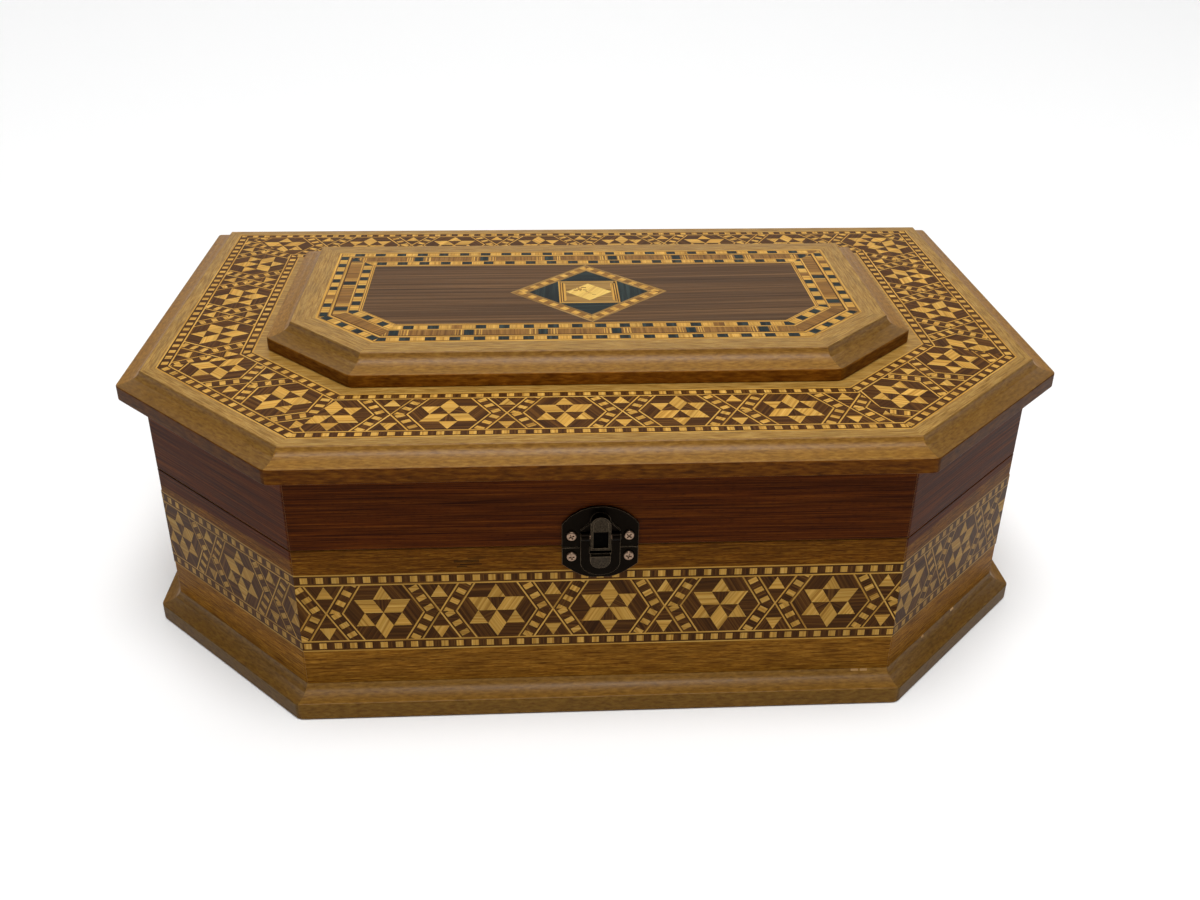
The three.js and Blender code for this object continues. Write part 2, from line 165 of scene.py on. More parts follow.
@dataclass(frozen=True)
class Wood(Finish):
    """A wood as cut, stained and varnished.

    Attributes:
        dark: Colour of the dark grain lines.
        body: Colour of most of the wood.
        pale: Colour of the pale grain lines.
        streak_width: Distance between grain lines across the grain, in millimetres.
        streak_length: How far a grain line runs before it changes, in millimetres.
        fleck: Strength of the short dark pores, 0 to 1.
        figure: Strength of the slow change in tone over the board, 0 to 1.
        gloss: Roughness of the varnish.
        shine: Strength of the varnish's reflections, where 0.5 is a hard gloss coat.
        relief: Depth of the grain under the varnish, 0 to 1.
        pored: How crowded the pores are, 0 to 0.2.
        pore_length: Length of a pore along the grain, in millimetres.
        pore_width: Width of a pore, in millimetres.
    """

    dark: str
    body: str
    pale: str
    streak_width: float = 0.5
    streak_length: float = 16.0
    fleck: float = 0.4
    figure: float = 0.35
    gloss: float = 0.36
    shine: float = 0.12
    relief: float = 0.25
    pored: float = 0.05
    pore_length: float = 2.6
    pore_width: float = 0.22

    def deeper(self, start: str, share: float) -> "Wood":
        """Gives the same wood darker, for real smears and for painted shade.

        Args:
            start: What its title then starts with.
            share: How much of the light it still sends back.

        Returns:
            The darker wood.
        """
        colours = {name: deepened(getattr(self, name), share) for name in ("dark", "body", "pale")}
        return replace(self, title=f"{start}_{self.title}", **colours)

    def squeezed_noise(self, tree: bpy.types.NodeTree, grain: bpy.types.NodeSocket,
                       squeeze: tuple[float, float], **noise: float) -> bpy.types.NodeSocket:
        """Adds noise drawn out along the grain, because grain lines and pores are long and thin.

        Args:
            tree: The material's node tree.
            grain: The grain map's socket.
            squeeze: How many lines go to a millimetre, along the grain and across it.
            noise: The noise's own settings.

        Returns:
            The socket with the noise's strength.
        """
        squeezed = add_node(tree, "ShaderNodeVectorMath", {0: grain, 1: (*squeeze, 1)}, operation="MULTIPLY")
        drawn_out = add_node(tree, "ShaderNodeTexNoise", {"Vector": squeezed.outputs["Vector"], **noise})
        return drawn_out.outputs["Fac"]

    def dress(self, tree: bpy.types.NodeTree) -> None:
        """Adds the wood's nodes: grain lines, slow figure and pores, as colour, gloss and relief."""
        grain = add_node(tree, "ShaderNodeUVMap", uv_map=GRAIN).outputs["UV"]
        streaks = self.squeezed_noise(tree, grain, (1 / self.streak_length, 1 / self.streak_width),
                                      Scale=0.5, Detail=4.0, Roughness=0.6, Distortion=0.3)
        # The figure drifts over several grain lines, so it is about four and eleven times as coarse.
        figure = self.squeezed_noise(tree, grain, (0.3 / self.streak_length, 0.09 / self.streak_width),
                                     Scale=1.0, Detail=3.0, Distortion=0.8)
        # Open pores are short dark dashes, about half as wide as a grain line.
        pores = self.squeezed_noise(tree, grain, (1 / self.pore_length, 1 / self.pore_width),
                                    Scale=1.0, Detail=2.0, Roughness=0.5)
        pits = add_node(tree, "ShaderNodeMapRange",
                        {"Value": pores, "From Min": 0.62 - self.pored, "From Max": 0.73 - self.pored})
        lines = add_node(tree, "ShaderNodeValToRGB", {"Fac": streaks},
                         {0.33: self.dark, 0.5: self.body, 0.68: self.pale})
        tone = add_node(tree, "ShaderNodeMapRange",
                        {"Value": figure, "From Min": 0.3, "From Max": 0.7,
                         "To Min": 1 - self.figure, "To Max": 1 + 0.5 * self.figure})
        toned = add_node(tree, "ShaderNodeVectorMath",
                         {0: lines.outputs["Color"], "Scale": tone.outputs["Result"]}, operation="SCALE")
        pit_weight = add_node(tree, "ShaderNodeMath", {0: pits.outputs["Result"], 1: self.fleck},
                              operation="MULTIPLY")
        flecked = add_node(tree, "ShaderNodeMix",
                           {0: pit_weight.outputs["Value"], 6: toned.outputs["Vector"], 7: linear(self.dark)},
                           data_type="RGBA")
        height = add_node(tree, "ShaderNodeMath", {0: streaks, 1: pit_weight.outputs["Value"]},
                          operation="SUBTRACT")
        bump = add_node(tree, "ShaderNodeBump",
                        {"Height": height.outputs["Value"], "Strength": self.relief, "Distance": 0.00004})
        sheen = add_node(tree, "ShaderNodeMapRange",
                         {"Value": figure, "To Min": self.gloss - 0.06, "To Max": self.gloss + 0.08})
        shader = add_node(tree, "ShaderNodeBsdfPrincipled",
                          {"Base Color": flecked.outputs[2], "Roughness": sheen.outputs["Result"], "IOR": 1.5,
                           "Specular IOR Level": self.shine, "Normal": bump.outputs["Normal"]})
        add_node(tree, "ShaderNodeOutputMaterial", {"Surface": shader.outputs["BSDF"]})


# Maple veneer: creamy yellow with fine straight tan lines, the bright tesserae and lines of the bands.
PALE_VENEER = Wood("sliced_maple_veneer", "#a8782f", "#cc9a45", "#dcb05c", 0.42, 30, 0.15, 0.25, shine=0.04)
# Maple bleached nearly to cream, the brightest piece of all: the lozenge at the panel's middle.
BLEACHED_VENEER = Wood("bleached_maple_veneer", "#cfa152", "#e5be60", "#edc873", 0.42, 30, 0.1, 0.15,
                       shine=0.06)
# Walnut veneer: mid brown with fine tan lines, the ground that the stars lie in.
WALNUT_VENEER = Wood("sliced_walnut_veneer", "#3a210c", "#4f2f10", "#6e481d", 0.4, 40, 0.3, 0.3, shine=0.04)
# Warm brown stringing: plain, between the pale and the walnut, for the wide stripe and the diamond's border.
BROWN_VENEER = Wood("stained_beech_stringing", "#684318", "#875d26", "#9f7235", 0.5, 14, 0.3, 0.25,
                    shine=0.06)
# Light tan stringing, a shade under the pale one: lines of the diamond's border and its square's corners.
TAN_VENEER = Wood("stained_birch_stringing", "#765325", "#997438", "#b18b50", 0.5, 14, 0.2, 0.25, shine=0.06)
# Veneer dyed through: black with a green cast, the dashes and the diamond's corners, faint grey lines in it.
BLACK_VENEER = Wood("dyed_black_pear_veneer", "#0f1513", "#1b2321", "#33403c", 0.7, 22, 0.2, 0.3, shine=0.06)
# Golden mahogany on the flat margins of the lid: light, open-pored, with short dark flecks along the grain.
GOLDEN_VENEER = Wood("sliced_golden_mahogany_veneer", "#7d571c", "#9f7838", "#b7934f", 0.3, 4, 0.5, 0.2,
                     shine=0.14, relief=0.6, pored=0.1)
# The same veneer on the case's walls under a darker stain: warm brown with near-black flecks.
# Above the band this veneer is painted darker than the strip below it, as painted shade falling from above.
CASE_VENEER = Wood("stained_golden_mahogany_veneer", "#432304", "#693e0a", "#825515", 0.3, 5, 0.75, 0.25,
                   0.4, 0.03, pored=0.12)
# Smears of dark glue and dirt rubbed into that veneer beside the latch.
SMEARED_VENEER = CASE_VENEER.deeper("smeared", 0.4)
# The strip under the band: the same veneer, lighter, since the strip above the band carries painted shade.
SKIRT_VENEER = Wood("light_golden_mahogany_veneer", "#55320a", "#825516", "#9b6d26", 0.3, 5, 0.7, 0.25,
                    0.4, 0.03, pored=0.12)
# Mouldings: stained and sprayed, so the grain is nearly hidden under a satin lacquer of even brown.
STAINED_MOULDING = Wood("stained_lacquered_moulding", "#724b13", "#885e1e", "#986f2a", 0.5, 1.4, 0.2, 0.12,
                        0.42, 0.26, 0.4)
# The base's moulding and its edge band: the same, painted darker as painted shade, the upright band at the
# foot darkest.
SHADED_BASE_COVE = STAINED_MOULDING.deeper("base", 0.82)
SHADED_BASE_EDGE = replace(STAINED_MOULDING.deeper("foot", 0.62), shine=0.08)
# Edge band of the lid: deeper and redder than the moulding, partly its own stain and partly painted shade on
# an upright face.
STAINED_AND_SHADED_LID_EDGE = Wood("twice_stained_moulding_edge", "#432205", "#5d3308", "#70440e", 0.5, 2.5, 0.3, 0.2,
                    0.4, 0.04, 0.3)
# Edge band of the raised panel: mottled orange-brown, lighter than the lid's edge band, and likewise partly
# its own stain and partly painted shade.
PANEL_EDGE = Wood("twice_stained_panel_edge", "#5e3307", "#7d4a0e", "#966019", 0.5, 2.5, 0.4, 0.25,
                  0.4, 0.04, 0.3)
# Lid walls: straight-grained red-brown boards with fine black pores.
RED_BOARD = Wood("stained_sapele_board", "#2c1003", "#4b2004", "#653409", 0.3, 22, 0.75, 0.3, 0.4, 0.03)
# The panel's field: dark brown veneer with long level lines.
DARK_FIELD = Wood("sliced_dark_walnut_field", "#402a17", "#5b4026", "#775838", 0.5, 60, 0.3, 0.3, shine=0.05)
# Inside and underneath: unstained wood with only a thin sealer, so it is pale and dull.
SEALED_INSIDE = Wood("sealed_unstained_beech", "#97713f", "#b08a5c", "#c4a073", 0.6, 30, 0.3, 0.2, 0.6, 0.05)


@dataclass(frozen=True)
class Metal(Finish):
    """A small cast, rolled or turned metal fitting.

    Attributes:
        base: Colour of the plating.
        rubbed: Colour where handling has worn it, and of the painted highlight on edges and upward faces.
        roughness: Roughness of the plating.
        speck: Size of the casting's texture in millimetres.
    """

    base: str
    rubbed: str
    roughness: float = 0.4
    speck: float = 0.5

    def dress(self, tree: bpy.types.NodeTree) -> None:
        """Adds the metal's nodes: the casting's fine texture, and bare metal where handling wears its edges,
        which also serves as painted highlight.
        """
        place = add_node(tree, "ShaderNodeTexCoord").outputs["Object"]
        specks = add_node(tree, "ShaderNodeTexNoise",
                          {"Vector": place, "Scale": 1 / (self.speck * MM), "Detail": 3.0, "Roughness": 0.6})
        edge = add_node(tree, "ShaderNodeAttribute", attribute_name=RUB_AND_PAINTED_HIGHLIGHT)
        worn = add_node(tree, "ShaderNodeMath", {0: edge.outputs["Fac"], 1: specks.outputs["Fac"]},
                        operation="MULTIPLY")
        weight = add_node(tree, "ShaderNodeMapRange",
                          {"Value": worn.outputs["Value"], "From Min": 0.08, "From Max": 0.75})
        colour = add_node(tree, "ShaderNodeMix",
                          {0: weight.outputs["Result"], 6: linear(self.base), 7: linear(self.rubbed)},
                          data_type="RGBA")
        dull = add_node(tree, "ShaderNodeMapRange",
                        {"Value": specks.outputs["Fac"], "To Min": self.roughness - 0.1,
                         "To Max": self.roughness + 0.15})
        bump = add_node(tree, "ShaderNodeBump",
                        {"Height": specks.outputs["Fac"], "Strength": 0.15, "Distance": 0.00005})
        shader = add_node(tree, "ShaderNodeBsdfPrincipled",
                          {"Base Color": colour.outputs[2], "Metallic": 1.0,
                           "Roughness": dull.outputs["Result"], "Normal": bump.outputs["Normal"]})
        add_node(tree, "ShaderNodeOutputMaterial", {"Surface": shader.outputs["BSDF"]})


# Antique bronze plating: nearly black, with warm metal showing where fingers wear the edges; that warm colour
# is also painted on edges and upward faces as highlight.
BLACKENED_BRONZE = Metal("blackened_bronze_plated_casting", "#100c08", "#8c7a62", 0.36)
# Painted shade: near-black dull colour on the pocket in the boss, standing for the shade in the hollow.
PAINTED_SHADE_BRONZE = Metal("unrubbed_black_plating_in_hollow", "#050403", "#0d0b08", 0.6)
# Screw heads: thin copper-coloured plating gone dull.
PLATED_SCREW = Metal("dull_copper_plated_steel_screw", "#7d6250", "#a38a74", 0.35, 0.3)
# Hinges: rolled brass with a brown tarnish.
TARNISHED_BRASS = Metal("tarnished_rolled_brass", "#8a6c36", "#c2a263", 0.35, 0.6)


class Side(NamedTuple):
    """One side of an outline: its start, its directions in plan and how the outline turns at its two ends."""

    name: str
    start: Vector
    along: Vector
    outward: Vector
    length: float
    turns: tuple[float, float]


@dataclass(frozen=True)
class Plan:
    """The box from above: a rectangle whose two front corners are cut off at 45 degrees.

    Attributes:
        half_width: Half the width over the walls.
        half_depth: Half the depth over the walls.
        corner_cut: How far along each wall a front corner is cut off.
    """

    half_width: float
    half_depth: float
    corner_cut: float = 55.0

    def corners(self, inset: float) -> list[Vector]:
        """Gives the outline's six corners, anticlockwise from the front's left end.

        Args:
            inset: How far the outline lies inside the walls' outer face.

        Returns:
            The corners in plan.
        """
        x = self.half_width - inset
        y = self.half_depth - inset
        leg = self.corner_cut - inset * (2 - math.sqrt(2))
        points = [(leg - x, -y), (x - leg, -y), (x, leg - y), (x, y), (-x, y), (-x, leg - y)]
        return [Vector((*p, 0)) for p in points]

    def sides(self, inset: float) -> list[Side]:
        """Gives the outline's six sides.

        Args:
            inset: How far the outline lies inside the walls' outer face.

        Returns:
            The sides in the order of SIDES.
        """
        ring = self.corners(inset)
        runs = [(ring[(i + 1) % 6] - ring[i]) for i in range(6)]
        result = []
        for i, name in enumerate(SIDES):
            along = runs[i].normalized()
            turns = (runs[i - 1].angle(runs[i]), runs[i].angle(runs[(i + 1) % 6]))
            result.append(Side(name, ring[i], along, along.cross(Vector((0, 0, 1))), runs[i].length, turns))
        return result

    def nearest(self, point: Vector) -> tuple[int, float]:
        """Tells which side a point belongs to when the board is mitred at its corners.

        Args:
            point: A place on the box.

        Returns:
            The side's number and how far inside its line the point lies.
        """
        flat = Vector((point.x, point.y, 0))
        depths = [(side.start - flat).dot(side.outward) for side in self.sides(0)]
        index = min(range(6), key=depths.__getitem__)
        return index, depths[index]


def geometry(faces: Iterable[bmesh.types.BMFace]) -> list:
    """Gives faces with their edges and corners, for the operators that need all three."""
    faces = list(faces)
    # A dict keeps their order, where a set's would change from run to run.
    corners = dict.fromkeys(vert for face in faces for vert in face.verts)
    edges = dict.fromkeys(edge for face in faces for edge in face.edges)
    return [*corners, *edges, *faces]


def sheet(points: Iterable) -> bmesh.types.BMesh:
    """Starts a mesh as one flat face with these corners."""
    bm = bmesh.new()
    bm.faces.new([bm.verts.new(point) for point in points])
    bm.normal_update()
    return bm


def corners_in(made: Iterable) -> list[bmesh.types.BMVert]:
    """Picks the corners out of what an operator made."""
    return [part for part in made if isinstance(part, bmesh.types.BMVert)]


def edges_in(made: Iterable) -> list[bmesh.types.BMEdge]:
    """Picks the edges out of what an operator made."""
    return [part for part in made if isinstance(part, bmesh.types.BMEdge)]


def round_off(bm: bmesh.types.BMesh, edges: list, reach: float, segments: int) -> list[bmesh.types.BMFace]:
    """Rounds edges off.

    Args:
        bm: The mesh.
        edges: The edges.
        reach: How far from each edge the rounding begins.
        segments: Faces round it.

    Returns:
        The new faces.
    """
    made = bmesh.ops.bevel(bm, geom=edges, offset=reach, offset_type="OFFSET", segments=segments, profile=0.5,
                           affect="EDGES", clamp_overlap=True, material=-1)
    return made["faces"]


def merge_flat(bm: bmesh.types.BMesh, kept: set[str]) -> None:
    """Joins faces that lie in one plane.

    Args:
        bm: The mesh.
        kept: What two faces have to share to be joined, such as MATERIAL.
    """
    bmesh.ops.dissolve_limit(bm, angle_limit=math.radians(1), use_dissolve_boundaries=False, verts=bm.verts,
                             edges=bm.edges, delimit=kept)


def cut(bm: bmesh.types.BMesh, point: tuple, normal: tuple, chosen: Callable | None = None,
        clear: bool = False) -> list[bmesh.types.BMEdge]:
    """Cuts faces along a plane.

    Args:
        bm: The mesh.
        point: A place on the plane.
        normal: The plane's direction; the side it points to is cleared if asked.
        chosen: Takes a face's middle and tells whether to cut it; all faces if left out.
        clear: Whether what lies beyond the plane is taken away.

    Returns:
        The edges along the cut.
    """
    faces = [face for face in bm.faces if chosen is None or chosen(face.calc_center_median())]
    made = bmesh.ops.bisect_plane(bm, geom=geometry(faces), dist=1e-5, plane_co=point, plane_no=normal,
                                  clear_outer=clear)
    return edges_in(made["geom_cut"])


class Patch(NamedTuple):
    """A small mark on the surface: its stretch along the side, and its lowest and highest places across."""

    start: float
    end: float
    low: float
    high: float

    def holds(self, u: float, v: float) -> bool:
        """Tells whether a place is in the mark."""
        return self.start < u < self.end and self.low < v < self.high


def step_in(bm: bmesh.types.BMesh, faces: list[bmesh.types.BMFace], inward: float, out: float) -> None:
    """Steps a patch of faces in from its rim and out along its faces, or down where out is below 0."""
    bmesh.ops.inset_region(bm, faces=faces, thickness=inward, depth=out, use_even_offset=True,
                           use_boundary=True)


def thicken(bm: bmesh.types.BMesh, thickness: float) -> None:
    """Turns a flat sheet that faces up into a closed slab below it.

    Args:
        bm: The sheet.
        thickness: How thick the slab is.
    """
    rim = [edge for edge in bm.edges if edge.is_boundary]
    made = bmesh.ops.extrude_edge_only(bm, edges=rim)["geom"]
    bmesh.ops.translate(bm, verts=corners_in(made), vec=(0, 0, -thickness))
    bmesh.ops.edgeloop_fill(bm, edges=edges_in(made))


def make_piece(name: str, bm: bmesh.types.BMesh, body: str, finishes: list[Finish],
               replaced: Iterable[str], smooth: float = 40.0) -> bpy.types.Object:
    """Turns a mesh in millimetres into a finished piece on its CAD body.

    Args:
        name: The piece's name.
        bm: Its mesh, which is used up.
        body: The CAD body that it moves with.
        finishes: Its finishes, in the order of the faces' material numbers.
        replaced: The CAD nodes that it stands for.
        smooth: Faces that meet at less than this many degrees are shaded as one.

    Returns:
        The piece's object.
    """
    bmesh.ops.recalc_face_normals(bm, faces=bm.faces)
    bmesh.ops.scale(bm, vec=(MM, MM, MM), verts=bm.verts)
    mesh = bpy.data.meshes.new(name)
    bm.to_mesh(mesh)
    bm.free()
    mesh.shade_smooth()
    mesh.set_sharp_from_angle(angle=math.radians(smooth))
    piece = bpy.data.objects.new(name, mesh)
    bpy.context.collection.objects.link(piece)
    for finish in finishes:
        mesh.materials.append(finish.material())
    even = piece.modifiers.new("even_shading", "WEIGHTED_NORMAL")
    even.keep_sharp = True
    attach(piece, body)
    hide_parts(*replaced)
    log.info("%s: %d faces on %s", name, len(mesh.polygons), body)
    return piece


class BoardFace(IntEnum):
    """The faces of a moulded board, in the order of its material numbers."""

    COVE = 0
    TOP = 1
    HIDDEN = 2
    BAND = 3
    # Moulding and band at the cut corners, painted darker as painted shade.
    CORNER_COVE = 4
    CORNER_BAND = 5


@dataclass
class MouldedBoard:
    """A six-sided board with an upright edge band and a hollow moulding up to its flat top.

    Attributes:
        plan: The box's outline.
        name: The piece's name.
        node: The CAD node that it stands for.
        body: The CAD body that it moves with.
        edge_band: Height of the upright band.
        cove_width: How far the moulding runs in.
        seed: Moves the grain, so that no two boards look alike.
        band_finish: The wood of the upright band.
        top_finish: The wood of the flat top.
        cove_finish: The wood of the moulding.
        recess: Outer and inner inset of the bed for veneers, the inner one 0 where the bed has no inner edge.
        recess_depth: Depth of that bed.
        knocks: For a side's number, stretches where the moulding's upper arris is knocked to bare wood.
        cove_steps: Faces round the hollow.
        hollow: How hollow the moulding is, from 0 for a straight slope to 1 for a full quarter round.
        arris: How far the sharp edges are sanded round.
        corner_round: How far the upright corners are sanded round.
        knock_depth: How far below the top a knock reaches, and how far inside the walls' face.
    """

    plan: Plan
    name: str
    node: str
    body: str
    edge_band: float
    cove_width: float
    seed: int
    band_finish: Wood
    top_finish: Wood
    cove_finish: Wood = STAINED_MOULDING
    recess: tuple[float, float] = (0, 0)
    recess_depth: float = 0.95
    knocks: dict[int, list[tuple[float, float]]] = field(default_factory=dict)
    cove_steps: int = 12
    hollow: float = 0.95
    arris: float = 0.45
    corner_round: float = 1.5
    knock_depth: tuple[float, float] = (0.8, 0.1)

    def build(self) -> bpy.types.Object:
        """Models the board.

        Returns:
            The piece's object.
        """
        low, high = millimetres(self.node)
        outer = self.plan.half_width - high.x
        cove_height = high.z - low.z - self.edge_band
        bm = sheet(corner + Vector((0, 0, low.z)) for corner in self.plan.corners(outer))
        under = next(iter(bm.faces))
        made = bmesh.ops.extrude_face_region(bm, geom=[under], use_keep_orig=True)["geom"]
        top = next(part for part in made if isinstance(part, bmesh.types.BMFace))
        bmesh.ops.translate(bm, verts=top.verts, vec=(0, 0, self.edge_band))
        inset = level = 0.0
        for number in range(1, self.cove_steps + 1):
            share = number / self.cove_steps
            angle = math.pi / 2 * share
            next_inset = self.cove_width * (share + self.hollow * (math.sin(angle) - share))
            next_level = cove_height * (share + self.hollow * (1 - math.cos(angle) - share))
            step_in(bm, [top], next_inset - inset, next_level - level)
            inset, level = next_inset, next_level
        if outer < 0:
            step_in(bm, [under], -outer, 0)
        if self.recess[0]:
            step_in(bm, [top], self.recess[0] - outer - self.cove_width, 0)
            bed = [top]
            if self.recess[1]:
                step_in(bm, [top], self.recess[1] - self.recess[0], 0)
                bed = self.ring_at(bm, (self.recess[0] + self.recess[1]) / 2, high.z)
            step_in(bm, bed, 0, -self.recess_depth)
        self.round_edges(bm, low.z, high.z, outer)
        self.lay_grain(bm, low.z + self.edge_band, high.z)
        # At the cut corners the moulding and the band get darker copies, as painted shade.
        finishes = {BoardFace.COVE: self.cove_finish, BoardFace.TOP: self.top_finish,
                    BoardFace.HIDDEN: SEALED_INSIDE, BoardFace.BAND: self.band_finish,
                    BoardFace.CORNER_COVE: self.cove_finish.deeper("corner", CORNER_SHADE_SHARE),
                    BoardFace.CORNER_BAND: self.band_finish.deeper("corner", CORNER_SHADE_SHARE)}
        return make_piece(self.name, bm, self.body, [finishes[kind] for kind in BoardFace],
                          [self.node])

    def ring_at(self, bm: bmesh.types.BMesh, inset: float, level: float) -> list[bmesh.types.BMFace]:
        """Finds the flat faces round the board at an inset and a level."""
        found = []
        for face in bm.faces:
            middle = face.calc_center_median()
            if abs(middle.z - level) < 0.01 and abs(self.plan.nearest(middle)[1] - inset) < 1:
                found.append(face)
        return found

    def round_edges(self, bm: bmesh.types.BMesh, low: float, high: float, outer: float) -> None:
        """Sands the arrises and the mitred corners round."""
        upright = [edge for edge in bm.edges
                   if abs(edge.verts[0].co.z - edge.verts[1].co.z) > self.edge_band - 0.1
                   and abs(self.plan.nearest(edge.verts[0].co)[1] - outer) < 0.01]
        round_off(bm, upright, self.corner_round, 4)
        chosen = []
        for edge in bm.edges:
            middle = (edge.verts[0].co + edge.verts[1].co) / 2
            inset = self.plan.nearest(middle)[1]
            turn = edge.calc_face_angle(0)
            if inset < outer + self.cove_width + 0.1 and turn > math.radians(25):
                if middle.z < high - 0.001 or abs(inset - outer - self.cove_width) < 0.1:
                    chosen.append(edge)
        round_off(bm, chosen, self.arris, 3)

    def is_arris(self, spot: Vector, index: int, top: float) -> bool:
        """Tells whether a place is on one side's upper arris, where a knock can bare the wood."""
        below, inside = self.knock_depth
        nearest, inset = self.plan.nearest(spot)
        return nearest == index and spot.z > top - below and inset < inside

    def kind(self, face: bmesh.types.BMFace, band_top: float, top: float) -> BoardFace:
        """Tells the board's faces apart.

        Args:
            face: The face.
            band_top: Level of the edge band's upper edge.
            top: Level of the board's top.

        Returns:
            What the face is.
        """
        middle = face.calc_center_median()
        index, inset = self.plan.nearest(middle)
        side = self.plan.sides(0)[index]
        reach = (middle - side.start).dot(side.along)
        knocked = any(start < reach < end for start, end in self.knocks.get(index, []))
        if face.normal.z < -0.98 and inset > 0 or knocked and self.is_arris(middle, index, top):
            return BoardFace.HIDDEN
        if abs(face.normal.z) < 0.75 and middle.z < band_top - 0.05:
            return BoardFace.CORNER_BAND if index in SHADED_CORNERS else BoardFace.BAND
        if face.normal.z > 0.98 and middle.z > top - 1.5 * self.recess_depth:
            return BoardFace.TOP
        return BoardFace.CORNER_COVE if index in SHADED_CORNERS else BoardFace.COVE

    def lay_grain(self, bm: bmesh.types.BMesh, band_top: float, top: float) -> None:
        """Runs the grain along each side, mitred at the corners, and tells the finishes apart."""
        sides = self.plan.sides(0)
        for index, spans in self.knocks.items():
            side = sides[index]
            for reach in [end for span in spans for end in span]:
                cut(bm, side.start + side.along * reach, side.along,
                    lambda spot: self.is_arris(spot, index, top))
        layer = bm.loops.layers.uv.new(GRAIN)
        for face in bm.faces:
            face.normal_update()
            face.material_index = self.kind(face, band_top, top)
            index = self.plan.nearest(face.calc_center_median())[0]
            side = sides[index]
            for loop in face.loops:
                spot = loop.vert.co
                u = (spot - side.start).dot(side.along)
                v = (side.start - spot).dot(side.outward) + spot.z
                loop[layer].uv = (u + 400 * index + 900 * self.seed, v + 70 * index + 30 * self.seed)


class WallFace(IntEnum):
    """The faces of a wall board, in the order of its material numbers."""

    OUTSIDE = 0
    INSIDE = 1
    DARK = 2
    SKIRT = 3
    SMEARED = 4


